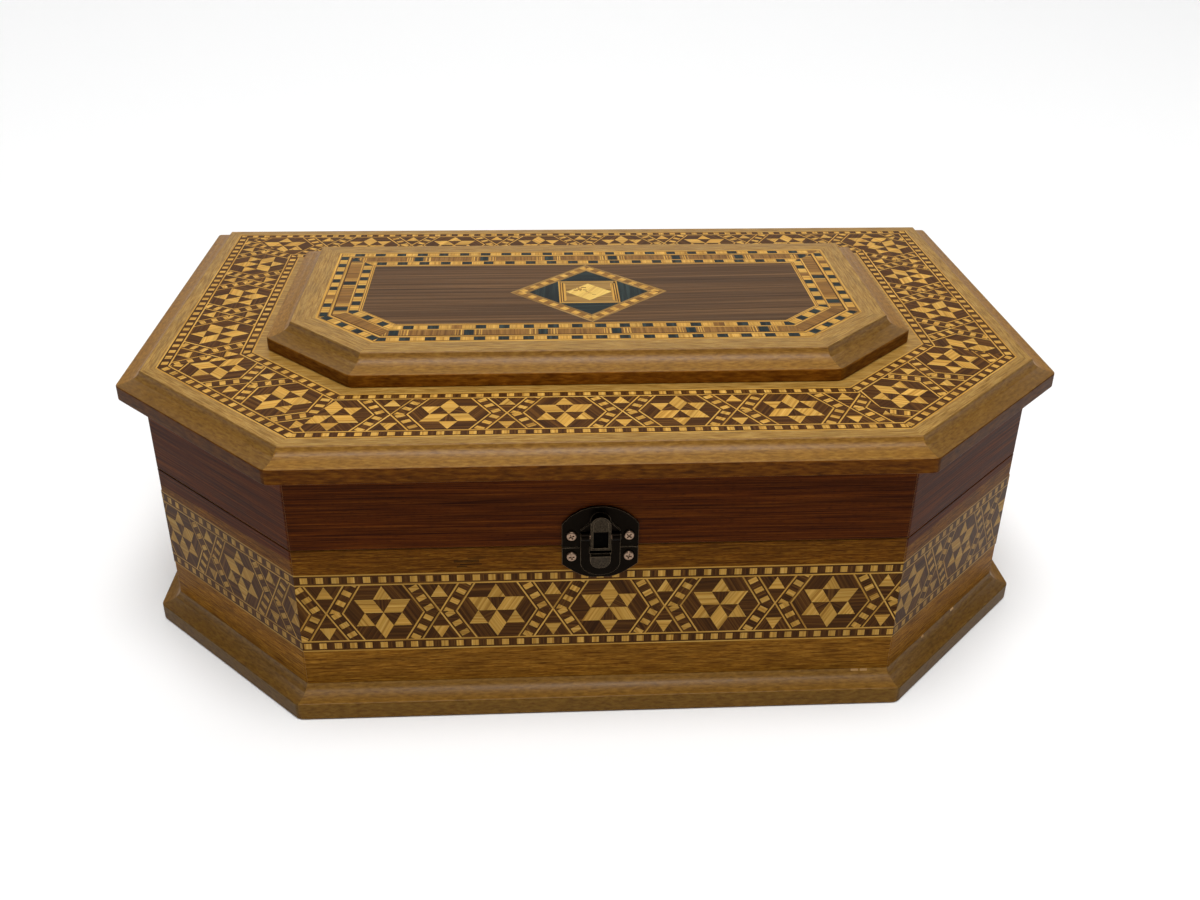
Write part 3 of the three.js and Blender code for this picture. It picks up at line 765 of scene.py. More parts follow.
@dataclass
class WallRing:
    """Six boards mitred into one ring of walls.

    Attributes:
        plan: The box's outline.
        prefix: Start of the pieces' names and of the CAD nodes' names.
        body: The CAD body that they move with.
        slot: The record's material slot.
        finish: The wood outside.
        inset_belt: Lowest and highest level of the bed for the star band, or none.
        belt_depth: Depth of that bed.
        round_over: How far the corners are sanded round.
        seam: Level where the lid meets the case.
        rim_round: How far the rims at the seam are sanded round.
        joint: Width of the hairline at each mitre.
        seed: Moves the grain.
        stains: For a side's name, its dark smears, along the side and in height.
        dark_above: For a side's name, the levels at its two ends above which it is the lid's dark wood.
        skin: How far in from the outer face the faces still count as the outside.
    """

    plan: Plan
    prefix: str
    body: str
    slot: str
    finish: Wood
    seed: int
    inset_belt: tuple[float, float] | None = None
    belt_depth: float = 0.95
    round_over: float = 1.1
    seam: float = 62.0
    rim_round: float = 0.3
    joint: float = 0.06
    stains: dict[str, list[Patch]] = field(default_factory=dict)
    dark_above: dict[str, tuple[float, float]] = field(default_factory=dict)
    skin: float = 0.3

    def build(self) -> list[bpy.types.Object]:
        """Models the ring and parts it into its six boards.

        Returns:
            The pieces' objects.
        """
        low, high = millimetres(f"{self.prefix}_back")
        inner = millimetres(f"{self.prefix}_front")[1]
        thickness = inner.y + self.plan.half_depth
        bm = sheet(corner + Vector((0, 0, low.z)) for corner in self.plan.corners(0))
        plate = next(iter(bm.faces))
        step_in(bm, [plate], thickness, 0)
        bmesh.ops.delete(bm, geom=[plate], context="FACES")
        made = bmesh.ops.extrude_face_region(bm, geom=list(bm.faces), use_keep_orig=True)["geom"]
        bmesh.ops.translate(bm, verts=corners_in(made), vec=(0, 0, high.z - low.z))
        bmesh.ops.recalc_face_normals(bm, faces=bm.faces)
        round_off(bm, [edge for edge in bm.edges if self.is_outer_corner(edge)], self.round_over, 4)
        round_off(bm, [edge for edge in bm.edges if self.is_rim(edge)], self.rim_round, 2)
        if self.inset_belt:
            self.sink_belt(bm)
        pieces = [self.part(bm, index) for index in range(6)]
        bm.free()
        return pieces

    def is_outer_corner(self, edge: bmesh.types.BMEdge) -> bool:
        """Tells whether an edge is one of the six upright outer corners."""
        span = edge.verts[1].co - edge.verts[0].co
        return abs(span.z) > 1 and abs(self.plan.nearest(edge.verts[0].co)[1]) < 0.01

    def is_rim(self, edge: bmesh.types.BMEdge) -> bool:
        """Tells whether an edge runs along the outer rim where the lid meets the case."""
        spots = [vert.co for vert in edge.verts]
        level = all(abs(spot.z - self.seam) < 0.3 for spot in spots)
        outer = all(self.plan.nearest(spot)[1] < 0.4 for spot in spots)
        return level and outer and edge.calc_face_angle(0) > 1

    def is_outside(self, spot: Vector) -> bool:
        """Tells whether a place is on the ring's outer face."""
        return self.plan.nearest(spot)[1] < self.skin

    def sink_belt(self, bm: bmesh.types.BMesh) -> None:
        """Sinks the bed for the star band into the outer faces."""
        for level in self.inset_belt:
            cut(bm, (0, 0, level), (0, 0, 1), self.is_outside)
        low, high = self.inset_belt
        belt = [face for face in bm.faces
                if self.is_outside(face.calc_center_median()) and low < face.calc_center_median().z < high]
        step_in(bm, belt, 0, -self.belt_depth)

    def part(self, ring: bmesh.types.BMesh, index: int) -> bpy.types.Object:
        """Cuts one board out of the ring and dresses it.

        Args:
            ring: The whole ring.
            index: The side's number.

        Returns:
            The piece's object.
        """
        bm = ring.copy()
        side = self.plan.sides(0)[index]
        self.mitre(bm, side)
        edge = self.dark_above.get(side.name, (NEVER, NEVER))
        rise = Vector((0, 0, edge[1] - edge[0])) + side.along * side.length
        over = side.outward.cross(rise).normalized()
        place = side.start + Vector((0, 0, edge[0]))
        cut(bm, place, over, self.is_outside)
        stains = self.stains.get(side.name, [])
        for stain in stains:
            for reach in (stain.start, stain.end):
                cut(bm, side.start + side.along * reach, side.along, self.is_outside)
            for level in (stain.low, stain.high):
                cut(bm, (0, 0, level), (0, 0, 1), self.is_outside)

        def kind(face: bmesh.types.BMFace) -> WallFace:
            """Tells the board's faces apart."""
            middle = face.calc_center_median()
            if face.normal.dot(side.outward) <= 0.3:
                return WallFace.INSIDE
            if (middle - place).dot(over) * over.z > 0:
                return WallFace.DARK
            if any(stain.holds((middle - side.start).dot(side.along), middle.z) for stain in stains):
                return WallFace.SMEARED
            return WallFace.SKIRT if self.inset_belt and middle.z < self.inset_belt[0] else WallFace.OUTSIDE

        layer = bm.loops.layers.uv.new(GRAIN)
        for face in bm.faces:
            face.material_index = kind(face)
            for loop in face.loops:
                spot = loop.vert.co
                u = (spot - side.start).dot(side.along)
                v = spot.z if abs(face.normal.z) < 0.5 else (side.start - spot).dot(side.outward)
                loop[layer].uv = (u + 400 * index + 3100 * self.seed, v + 90 * index)
        finishes = {WallFace.OUTSIDE: self.finish, WallFace.INSIDE: SEALED_INSIDE, WallFace.DARK: RED_BOARD,
                    WallFace.SKIRT: SKIRT_VENEER, WallFace.SMEARED: SMEARED_VENEER}
        return make_piece(f"{side.name}_{self.prefix}_board", bm, self.body,
                          [finishes[kind] for kind in WallFace], [f"{self.prefix}_{side.name}"])

    def mitre(self, bm: bmesh.types.BMesh, side: Side) -> None:
        """Cuts away all of the ring but one side's board, and closes its mitred ends."""
        cut(bm, side.start - 20 * side.outward, -side.outward, clear=True)
        ends = ((side.start, -1, side.turns[0]), (side.start + side.length * side.along, 1, side.turns[1]))
        for corner, sign, turn in ends:
            normal = sign * side.along * math.cos(turn / 2) - side.outward * math.sin(turn / 2)
            edges = cut(bm, corner - normal * self.joint / 2, normal, clear=True)
            bmesh.ops.edgeloop_fill(bm, edges=edges)
        bmesh.ops.recalc_face_normals(bm, faces=bm.faces)


class Veneer(Enum):
    """The veneers of the marquetry, in the order of the pieces' material numbers."""

    PALE = 0
    WALNUT = 1
    BROWN = 2
    BLACK = 3
    TAN = 4
    FIELD = 5
    BLEACHED = 6


VENEER_FINISHES = [PALE_VENEER, WALNUT_VENEER, BROWN_VENEER, BLACK_VENEER, TAN_VENEER, DARK_FIELD,
                   BLEACHED_VENEER]
# The case's band is painted darker than the lid's, as painted shade on the upright walls, and darker still at
# the cut corners, as painted shade on the slanting faces.
SHADED_CASE_BAND_FINISHES = [PALE_VENEER.deeper("case", 0.78), WALNUT_VENEER.deeper("case", 0.82)]
SHADED_CORNER_BAND_FINISHES = [PALE_VENEER.deeper("corner", 0.53), WALNUT_VENEER.deeper("corner", 0.76)]


class Tessera(NamedTuple):
    """What one cut piece of veneer is: its wood, the direction of its grain in degrees and its own name."""

    veneer: Veneer
    grain: float
    key: str


def settle_tesserae(bm: bmesh.types.BMesh, tell: Callable[[Vector], Tessera]) -> None:
    """Joins the faces of each tessera into one, and gives it its wood and its own stretch of grain.

    Args:
        bm: A flat sheet cut along every joint of the pattern.
        tell: Gives the tessera that a place on the sheet belongs to.
    """
    numbers: dict[str, int] = {}
    for face in bm.faces:
        key = tell(face.calc_center_median()).key
        face.material_index = numbers.setdefault(key, len(numbers))
    merge_flat(bm, {"MATERIAL"})
    layer = bm.loops.layers.uv.verify()
    by_number = {number: key for key, number in numbers.items()}
    for face in bm.faces:
        own = random.Random(by_number[face.material_index])
        tessera = tell(inner_point(face))
        turn = Matrix.Rotation(-math.radians(tessera.grain + own.uniform(-3, 3)), 2)
        shift = Vector((own.uniform(0, 4000), own.uniform(0, 4000)))
        face.material_index = tessera.veneer.value
        for loop in face.loops:
            loop[layer].uv = turn @ loop.vert.co.xy + shift


def inner_point(face: bmesh.types.BMFace) -> Vector:
    """Gives a place that is surely inside a face, also where the face is hollow-sided."""
    corners = [loop for loop in face.loops if loop.is_convex and loop.calc_angle() < math.radians(179)]
    best = face.calc_center_median()
    if corners:
        tip = min(corners, key=lambda loop: loop.calc_angle())
        inward = (tip.link_loop_next.vert.co - tip.vert.co).normalized()
        inward += (tip.link_loop_prev.vert.co - tip.vert.co).normalized()
        best = tip.vert.co + inward.normalized() * 0.08
    return best


class Lay(Enum):
    """How a strip lies on the box."""

    WALL = "upright on a wall"
    TOP = "flat on a board"


@dataclass
class Strip:
    """A long strip of inlay on one side of the box, worked flat and then laid in place.

    Flat, x runs along the side from its start, y runs up the wall or in from the edge, and z comes out.

    Attributes:
        side: The side that it lies along, taken at the strip's outer edge.
        lay: Whether it stands on a wall or lies on a board.
        level: Height of its lower edge on a wall, or of its face on a board.
        thickness: Thickness of the veneer.
        joint: Width of the hairline at each mitre.
    """

    side: Side
    lay: Lay
    level: float
    thickness: float = VENEER_THICKNESS
    joint: float = 0.05

    def mitre(self, bm: bmesh.types.BMesh) -> None:
        """Cuts both ends to the corner's mitre."""
        slopes = [math.tan(turn / 2) for turn in self.side.turns]
        for x, sign, slope in ((0, -1, slopes[0]), (self.side.length, 1, slopes[1])):
            if self.lay is Lay.WALL:
                normal = Vector((sign, 0, -slope)).normalized()
            else:
                normal = Vector((sign, slope, 0)).normalized()
            cut(bm, Vector((x, 0, 0)) - normal * self.joint / 2, normal, clear=True)

    def frame(self) -> Matrix:
        """Gives the transform from the flat strip to its place."""
        up = Vector((0, 0, 1))
        across = (up, self.side.outward) if self.lay is Lay.WALL else (-self.side.outward, up)
        turn = Matrix((self.side.along, *across)).transposed().to_4x4()
        return Matrix.Translation(self.side.start + up * self.level) @ turn


def veneer_sheet(points: Iterable) -> bmesh.types.BMesh:
    """Starts a flat sheet of veneer with its grain map."""
    bm = sheet(points)
    bm.loops.layers.uv.new(GRAIN)
    return bm


def veneer_strip(x0: float, x1: float, y0: float, y1: float) -> bmesh.types.BMesh:
    """Starts a flat strip of veneer, with x along it and y across it."""
    return veneer_sheet(((x0, y0, 0), (x1, y0, 0), (x1, y1, 0), (x0, y1, 0)))


def absorb(target: bmesh.types.BMesh, source: bmesh.types.BMesh, place: Matrix = Matrix()) -> None:
    """Moves one mesh into another.

    Args:
        target: The mesh that grows.
        source: The mesh that is used up.
        place: The transform that it is laid with.
    """
    bmesh.ops.transform(source, matrix=place, verts=source.verts)
    passing = bpy.data.meshes.new("passing")
    source.to_mesh(passing)
    source.free()
    target.from_mesh(passing)
    bpy.data.meshes.remove(passing)


@dataclass
class StarBand:
    """The wide band of six-pointed stars in hexagons, with crossed strips of tiles between them.

    Attributes:
        width: Width of the whole band.
        line: Width of the pale lines along and across the band.
        hairline: Width of the walnut line beside each row.
        square: Height of the border's row of squares.
        square_pitch: Distance between two pale squares.
        square_length: Length of a pale square.
        period: Distance between two stars.
        hexagon_reach: From a star's middle to its hexagon's side corner.
        star_radius: From a star's middle to its points.
        tile_pitch: Distance between two pale tiles.
        tile_length: Length of a pale tile.
        tile_starts: Where the tiles begin in the four arms of a crossing, so that they look cut by hand.
        wedge_base: Level of the base of the small triangles, from the band's middle.
        wedge_tip: Level of their tips.
        upper_shift: How far the upper row's squares lie beside the lower row's.
        overhang: How far the rows of squares run past both ends before the mitres are cut.
        star_overhang: How far the stars' zone does.
    """

    width: float = 30.0
    line: float = 0.5
    hairline: float = 0.54
    square: float = 2.23
    square_pitch: float = 4.93
    square_length: float = 2.3
    period: float = 36.3
    hexagon_reach: float = 12.95
    star_radius: float = 10.3
    tile_pitch: float = 4.35
    tile_length: float = 1.9
    tile_starts: tuple = (0.2, 1.9, 1.05, 2.7)
    wedge_base: float = 5.75
    wedge_tip: float = 10.45
    upper_shift: float = 1.3
    overhang: float = 30.0
    star_overhang: float = 12.0

    @property
    def half_zone(self) -> float:
        """Half the height between the two borders."""
        return self.width / 2 - 2 * self.line - 2 * self.hairline - self.square

    @property
    def edge(self) -> float:
        """Half a pale line's width, measured along the band for the slanted lines."""
        return self.line / ROOT3

    @property
    def gap(self) -> float:
        """A hairline's width beside a slanted line, measured along the band."""
        return self.hairline * 2 / ROOT3

    def levels(self) -> list[float]:
        """Gives the slanted lines' places along the band's middle, outwards from a star."""
        hexagon, crossing = self.hexagon_reach, self.period / 2
        return [hexagon - self.edge, hexagon + self.edge, hexagon + self.edge + self.gap,
                crossing - self.edge - self.gap, crossing - self.edge, crossing + self.edge]

    def cell(self) -> bpy.types.Mesh:
        """Cuts one star's stretch of the band along every joint.

        Returns:
            The cut sheet, with the star at its middle.
        """
        half = self.period / 2
        top = self.half_zone
        bm = veneer_strip(-half, half, -top, top)
        cut(bm, (0, 0, 0), (1, 0, 0))
        cut(bm, (0, 0, 0), (0, 1, 0))
        inner = self.star_radius / ROOT3
        levels = self.levels()
        for index, (sx, sy) in enumerate(((-1, 1), (1, 1), (-1, -1), (1, -1))):
            slant = Vector((sx * ROOT3 / 2, sy / 2, 0))
            run = Vector((-sx / 2, sy * ROOT3 / 2, 0))
            back = Vector((sx * ROOT3 / 2, -sy / 2, 0))

            def own(spot: Vector, low: float = 0.0, high: float = math.inf) -> bool:
                """Tells whether a place is in this quarter, between two of the slanted lines."""
                return spot.x * sx > 0 and spot.y * sy > 0 and low < abs(spot.x) + abs(spot.y) / ROOT3 < high

            def in_star(spot: Vector) -> bool:
                """Tells whether a place is in this quarter of the star's hexagon."""
                return own(spot, 0, levels[0])

            def in_wedge(spot: Vector) -> bool:
                """Tells whether a place is in this quarter's small triangle or beside it."""
                return own(spot, levels[5])

            for level in levels:
                cut(bm, (sx * level, 0, 0), slant, own)
            cut(bm, (0, sy * self.star_radius / 2, 0), (0, 1, 0), in_star)
            cut(bm, (sx * inner, 0, 0), slant, in_star)
            cut(bm, (sx * inner, 0, 0), back, in_star)
            cut(bm, (0, 0, 0), back, in_star)
            cut(bm, (0, 0, 0), run, lambda spot: in_star(spot) and abs(spot.x) > inner + 1)
            place = self.tile_starts[index] - self.tile_pitch - self.tile_length / 2
            while place < 2 * top:
                for end in (place, place + self.tile_length):
                    cut(bm, Vector((sx * (levels[2] + levels[3]) / 2, 0, 0)) + run * end, run,
                        lambda spot: own(spot, levels[2], levels[3]))
                place += self.tile_pitch
            cut(bm, (0, sy * self.wedge_base, 0), (0, 1, 0), in_wedge)
            cut(bm, (sx * half, sy * self.wedge_tip, 0), back,
                lambda spot: in_wedge(spot) and abs(spot.y) > self.wedge_base)
        mesh = bpy.data.meshes.new("star_cell")
        bm.to_mesh(mesh)
        bm.free()
        return mesh

    def zone_tessera(self, x: float, y: float, first: float, kinds: str) -> Tessera:
        """Tells which tessera of the stars' zone a place belongs to.

        Args:
            x: Place along the band.
            y: Place across it from its middle.
            first: Place of the first star's middle.
            kinds: One letter a star, A with a point down on a pale rhombus or B upside down.

        Returns:
            The tessera.
        """
        number = round((x - first) / self.period)
        kind = kinds[number % len(kinds)]
        dx = x - first - number * self.period
        sx = 1 if dx > 0 else -1
        sy = 1 if y > 0 else -1
        reach = abs(dx) + abs(y) / ROOT3
        levels = self.levels()
        lean = -60.0 * sx * sy
        arm = f"{number} {sx} {sy}"
        own = random.Random(f"{first} {arm}")
        if reach < levels[0]:
            return self.star_tessera(dx, y if kind == "A" else -y, f"{first} {number}")
        if reach < levels[1]:
            return Tessera(Veneer.PALE, lean, f"hexagon line {arm}")
        if levels[2] < reach < levels[3]:
            index = (0 if sx < 0 else 1) + (0 if sy > 0 else 2)
            place = (levels[2] + levels[3]) / 2
            run = -abs(dx) / 2 + place / 2 + abs(y) * ROOT3 / 2
            step = (run - self.tile_starts[index] + self.tile_length / 2) / self.tile_pitch
            tile = math.floor(step)
            pale = (step - tile) * self.tile_pitch < self.tile_length
            grain = lean + own.choice((0, 90, 60))
            return Tessera(Veneer.PALE if pale else Veneer.WALNUT, grain, f"tile {arm} {tile} {pale}")
        if reach < levels[4]:
            return Tessera(Veneer.WALNUT, lean, f"hairline {arm} {reach < levels[2]}")
        crossing = number + (0 if sx > 0 else -1)
        if reach < levels[5]:
            return Tessera(Veneer.PALE, lean, f"cross line {arm}")
        if abs(y) > self.wedge_base:
            side_reach = abs(dx) - abs(y) / ROOT3
            if side_reach > self.period / 2 - self.wedge_tip / ROOT3:
                grain = random.Random(f"wedge {crossing} {sy}").choice((0, 60, 90))
                return Tessera(Veneer.PALE, grain, f"wedge {crossing} {sy}")
            return Tessera(Veneer.WALNUT, lean, f"wedge side {arm}")
        return Tessera(Veneer.WALNUT, 0, f"wedge foot {crossing} {sy}")

    def star_tessera(self, x: float, y: float, star: str) -> Tessera:
        """Tells which tessera inside a hexagon a place belongs to, in a star of kind A.

        Args:
            x: Place along the band from the star's middle.
            y: Place across it, turned over for a star that is upside down.
            star: The star's own name.

        Returns:
            The tessera.
        """
        angle = math.degrees(math.atan2(y, x)) % 360
        half = self.star_radius / 2
        up, down = (max(x * math.cos(math.radians(degrees)) + y * math.sin(math.radians(degrees))
                        for degrees in (first, first + 120, first + 240)) < half for first in (30, 90))
        if not up and not down:
            kite = round(angle / 60) % 6
            grain = random.Random(f"{star} kite {kite}").choice((0, 60, 120))
            return Tessera(Veneer.WALNUT, grain, f"star {star} kite {kite}")
        sector = int(angle // 60)
        point = 30 + 60 * sector
        grain = random.Random(f"{star} point {sector}").choice((0, 60, 120))
        if point in (30, 150, 270):
            return Tessera(Veneer.PALE, grain, f"star {star} rhombus {sector}")
        if up and down:
            return Tessera(Veneer.WALNUT, point, f"star {star} heart {sector}")
        return Tessera(Veneer.PALE, grain, f"star {star} point {sector}")

    def build(self, strip: Strip, first: float, kinds: str, squares: float,
              cell: bpy.types.Mesh) -> bmesh.types.BMesh:
        """Makes the band for one side.

        Args:
            strip: Where it lies.
            first: Place of the first star's middle along the side.
            kinds: One letter a star.
            squares: Where the row of squares begins.
            cell: The cut sheet of one star's stretch.

        Returns:
            The band's mesh in its place.
        """
        length = strip.side.length
        whole = bmesh.new()
        zone = bmesh.new()
        zone.loops.layers.uv.new(GRAIN)
        middle = self.width / 2
        count = math.ceil(length / self.period) + 2
        start = first - self.period * math.ceil(first / self.period)
        for number in range(count + 1):
            before = len(zone.verts)
            zone.from_mesh(cell)
            zone.verts.ensure_lookup_table()
            place = (start + number * self.period, middle, 0)
            bmesh.ops.translate(zone, verts=zone.verts[before:], vec=place)
        bmesh.ops.remove_doubles(zone, verts=zone.verts, dist=0.01)
        cut(zone, (-self.star_overhang, 0, 0), (-1, 0, 0), clear=True)
        cut(zone, (length + self.star_overhang, 0, 0), (1, 0, 0), clear=True)
        strip.mitre(zone)
        settle_tesserae(zone, lambda spot: self.zone_tessera(spot.x, spot.y - middle, first, kinds))
        thicken(zone, strip.thickness)
        absorb(whole, zone)
        for upper in (False, True):
            absorb(whole, self.border(strip, upper, squares))
        bmesh.ops.transform(whole, matrix=strip.frame(), verts=whole.verts)
        return whole

    def border(self, strip: Strip, upper: bool, squares: float) -> bmesh.types.BMesh:
        """Makes the row of squares between two lines, at the band's lower or upper edge.

        Args:
            strip: Where the band lies.
            upper: Whether it is the upper row.
            squares: Where the row begins.

        Returns:
            The row's mesh, flat.
        """
        steps = [self.line, self.hairline, self.square, self.hairline, self.line]
        start = self.width - sum(steps) if upper else 0.0
        far = strip.side.length + self.overhang
        bm = veneer_strip(-self.overhang, far, start, start + sum(steps))
        edges = [start + sum(steps[: i + 1]) for i in range(4)]
        for level in edges:
            cut(bm, (0, level, 0), (0, 1, 0))
        phase = squares + (self.upper_shift if upper else 0)
        place = phase - self.square_pitch * math.ceil(self.overhang / self.square_pitch + 1)
        while place < far:
            for end in (place, place + self.square_length):
                cut(bm, (end, 0, 0), (1, 0, 0), lambda spot: edges[1] < spot.y < edges[2])
            place += self.square_pitch
        strip.mitre(bm)

        def tell(spot: Vector) -> Tessera:
            """Tells which tessera of the row a place belongs to."""
            row = sum(spot.y > level for level in edges)
            if row == 2:
                step = (spot.x - phase) / self.square_pitch
                number = math.floor(step)
                pale = (step - number) * self.square_pitch < self.square_length
                key = f"square {upper} {squares} {number} {pale}"
                return Tessera(Veneer.PALE if pale else Veneer.WALNUT, 90, key)
            return Tessera(Veneer.PALE if row in (0, 4) else Veneer.WALNUT, 0, f"row {upper} {row}")

        settle_tesserae(bm, tell)
        thicken(bm, strip.thickness)
        return bm


class Run(NamedTuple):
    """How the stars fall on one side: the first one's middle, their kinds and where the squares begin."""

    first: float
    kinds: str
    squares: float


@dataclass
class StarBands:
    """The two rings of star band, round the case and round the lid's top.

    Attributes:
        plan: The box's outline.
        band: The band's pattern.
        case_runs: How the stars fall on each wall.
        lid_runs: How the stars fall on each side of the lid.
        lid_inset: The outer edge's inset on the lid.
    """

    plan: Plan
    band: StarBand = field(default_factory=StarBand)
    lid_inset: float = 5.0
    case_runs: dict = field(default_factory=lambda: {
        "front": Run(27.1, "AABAA", 0.6), "front_right": Run(8.1, "AA", 1.0), "right": Run(22.0, "ABA", 2.0),
        "back": Run(25.0, "ABABAAB", 0.2), "left": Run(18.0, "BAAB", 1.4), "front_left": Run(9.5, "AA", 2.6)})
    lid_runs: dict = field(default_factory=lambda: {
        "front": Run(11.5, "BBABB", 0.4), "front_right": Run(19.0, "BA", 1.0), "right": Run(8.1, "ABAB", 2.2),
        "back": Run(20.0, "BABAABA", 1.1), "left": Run(1.1, "AABB", 0.7), "front_left": Run(14.3, "BA", 1.9)})

    def build(self) -> list[bpy.types.Object]:
        """Models the twelve strips of band.

        Returns:
            The pieces' objects.
        """
        cell = self.band.cell()
        pieces = []
        for index, name in enumerate(SIDES):
            low = millimetres(f"case_band_{name}")[0]
            wall = Strip(self.plan.sides(0)[index], Lay.WALL, low.z - FIT_GAP)
            mesh = self.band.build(wall, *self.case_runs[name], cell)
            # Painted shade: the case's band takes darker copies of the veneers, darkest at the cut corners.
            finishes = SHADED_CORNER_BAND_FINISHES if index in SHADED_CORNERS else SHADED_CASE_BAND_FINISHES
            pieces.append(make_piece(f"{name}_star_band_of_case", mesh, "case", finishes,
                                     [f"case_band_{name}"], VENEER_SMOOTH))
            high = millimetres(f"lid_band_{name}")[1]
            board = Strip(self.plan.sides(self.lid_inset)[index], Lay.TOP, high.z)
            mesh = self.band.build(board, *self.lid_runs[name], cell)
            pieces.append(make_piece(f"{name}_star_band_of_lid", mesh, "lid", VENEER_FINISHES,
                                     [f"lid_band_{name}"], VENEER_SMOOTH))
        bpy.data.meshes.remove(cell)
        return pieces


class Mark(NamedTuple):
    """Pieces of another veneer let into a row at an even pitch."""

    veneer: Veneer
    start: float
    length: float
    pitch: float


@dataclass(frozen=True)
class Row:
    """One row of a stringing: its width, its wood, the direction of its grain and what is let into it."""

    width: float
    veneer: Veneer
    grain: float = 0.0
    marks: tuple[Mark, ...] = ()


@dataclass
class Stringing:
    """A strip made of several rows, some of them with pieces let in.

    Attributes:
        strip: Where it lies.
        rows: Its rows, from the strip's outer or lower edge.
        name: Its name, which settles how its cuts vary.
        uneven: How far a hand-cut piece may be off its place or length.
        worn: Share of the black pieces that have lost their dye.
        overhang: How far the rows run past both ends before the mitres are cut.
    """

    strip: Strip
    rows: list[Row]
    name: str
    uneven: float = 0.12
    worn: float = 0.0
    overhang: float = 5.0

    def build(self) -> bmesh.types.BMesh:
        """Makes the strip, flat, with its mitred ends.

        Returns:
            The closed mesh.
        """
        far = self.strip.side.length + self.overhang
        levels = [sum(row.width for row in self.rows[:i]) for i in range(len(self.rows) + 1)]
        bm = veneer_strip(-self.overhang, far, levels[0], levels[-1])
        for level in levels[1:-1]:
            cut(bm, (0, level, 0), (0, 1, 0))
        let_in: list[list[tuple]] = []
        for number, row in enumerate(self.rows):
            spans = self.spans(number, row, far)
            let_in.append(spans)
            for place in [end for span in spans for end in span[:2]]:
                cut(bm, (place, 0, 0), (1, 0, 0), lambda spot: levels[number] < spot.y < levels[number + 1])
        self.strip.mitre(bm)

        def tell(spot: Vector) -> Tessera:
            """Tells which piece of the strip a place belongs to."""
            number = sum(spot.y > level for level in levels[1:-1])
            row = self.rows[number]
            for start, end, veneer, key in reversed(let_in[number]):
                if start < spot.x < end:
                    return Tessera(veneer, row.grain, key)
            gap = sum(end < spot.x for _, end, _, _ in let_in[number])
            return Tessera(row.veneer, row.grain, f"{self.name} row {number} gap {gap}")

        settle_tesserae(bm, tell)
        thicken(bm, self.strip.thickness)
        return bm

    def spans(self, number: int, row: Row, far: float) -> list[tuple]:
        """Places the pieces let into one row.

        Args:
            number: The row's number.
            row: The row.
            far: Where the row ends.

        Returns:
            Start, end, veneer and name of each piece.
        """
        result = []
        for order, mark in enumerate(row.marks):
            first = math.floor((-self.overhang - mark.start) / mark.pitch)
            for index in range(first, math.ceil((far - mark.start) / mark.pitch) + 1):
                key = f"{self.name} row {number} mark {order} {index}"
                own = random.Random(key)
                start = mark.start + index * mark.pitch + own.uniform(-self.uneven, self.uneven)
                end = start + mark.length + own.uniform(-self.uneven, self.uneven)
                faded = mark.veneer is Veneer.BLACK and own.random() < self.worn
                result.append((start, end, Veneer.BROWN if faded else mark.veneer, key))
        return result


@dataclass
class PanelInlay:
    """The ring of stringing in the panel: two rows of black dashes beside a brown stripe with black blocks.

    Attributes:
        plan: The box's outline.
        inset: The ring's outer edge.
        level: The panel's top.
        outer_dash: Where the outer dashes begin on each side.
        inner_dash: Where the inner dashes begin on each side.
        block: Where the black blocks begin on each side, or none where the stripe is plain.
        dash_length: Length of a black dash.
        dash_pitch: Distance between two dashes.
        block_length: Length of a black block.
        block_pitch: Distance between two blocks.
        pinstripe: Width of the pale pinstripes beside a block.
        pinstripe_gaps: How far from the block each pinstripe lies.
    """

    plan: Plan
    inset: float
    level: float
    outer_dash: tuple = (0.4, 3.0, 1.2, 2.0, 4.4, 1.6)
    inner_dash: tuple = (0.75, 2.2, 3.9, 0.5, 2.7, 3.2)
    block: tuple = (4.6, None, 9.1, 7.8, 6.5, None)
    dash_length: float = 3.75
    dash_pitch: float = 8.27
    block_length: float = 3.4
    block_pitch: float = 25.4
    pinstripe: float = 0.4
    pinstripe_gaps: tuple = (0.75, 1.7, 2.65)

    def rows(self, index: int) -> list[Row]:
        """Gives the rows of one side, from outside inwards."""
        dashes = [(Mark(Veneer.BLACK, start[index], self.dash_length, self.dash_pitch),)
                  for start in (self.outer_dash, self.inner_dash)]
        stripe: list[Mark] = []
        if self.block[index] is not None:
            start = self.block[index]
            for apart in self.pinstripe_gaps:
                for place in (start - apart - self.pinstripe, start + self.block_length + apart):
                    stripe.append(Mark(Veneer.PALE, place, self.pinstripe, self.block_pitch))
            stripe.append(Mark(Veneer.BLACK, start, self.block_length, self.block_pitch))
        return [Row(0.8, Veneer.PALE), Row(0.45, Veneer.BROWN), Row(2.75, Veneer.PALE, 90, dashes[0]),
                Row(0.4, Veneer.BROWN), Row(0.75, Veneer.PALE), Row(0.55, Veneer.WALNUT),
                Row(4.6, Veneer.BROWN, 90, tuple(stripe)), Row(0.45, Veneer.PALE), Row(0.4, Veneer.BROWN),
                Row(3.0, Veneer.PALE, 90, dashes[1]), Row(0.35, Veneer.BROWN), Row(0.4, Veneer.PALE),
                Row(0.3, Veneer.BROWN), Row(0.4, Veneer.PALE)]

    def build(self) -> bpy.types.Object:
        """Makes the ring."""
        bm = bmesh.new()
        for index, side in enumerate(self.plan.sides(self.inset)):
            strip = Strip(side, Lay.TOP, self.level)
            part = Stringing(strip, self.rows(index), f"inlay {side.name}", 0.22, 0.07).build()
            absorb(bm, part, strip.frame())
        return make_piece("string_inlay_of_panel", bm, "lid", VENEER_FINISHES,
                          ["panel_inlay"], VENEER_SMOOTH)


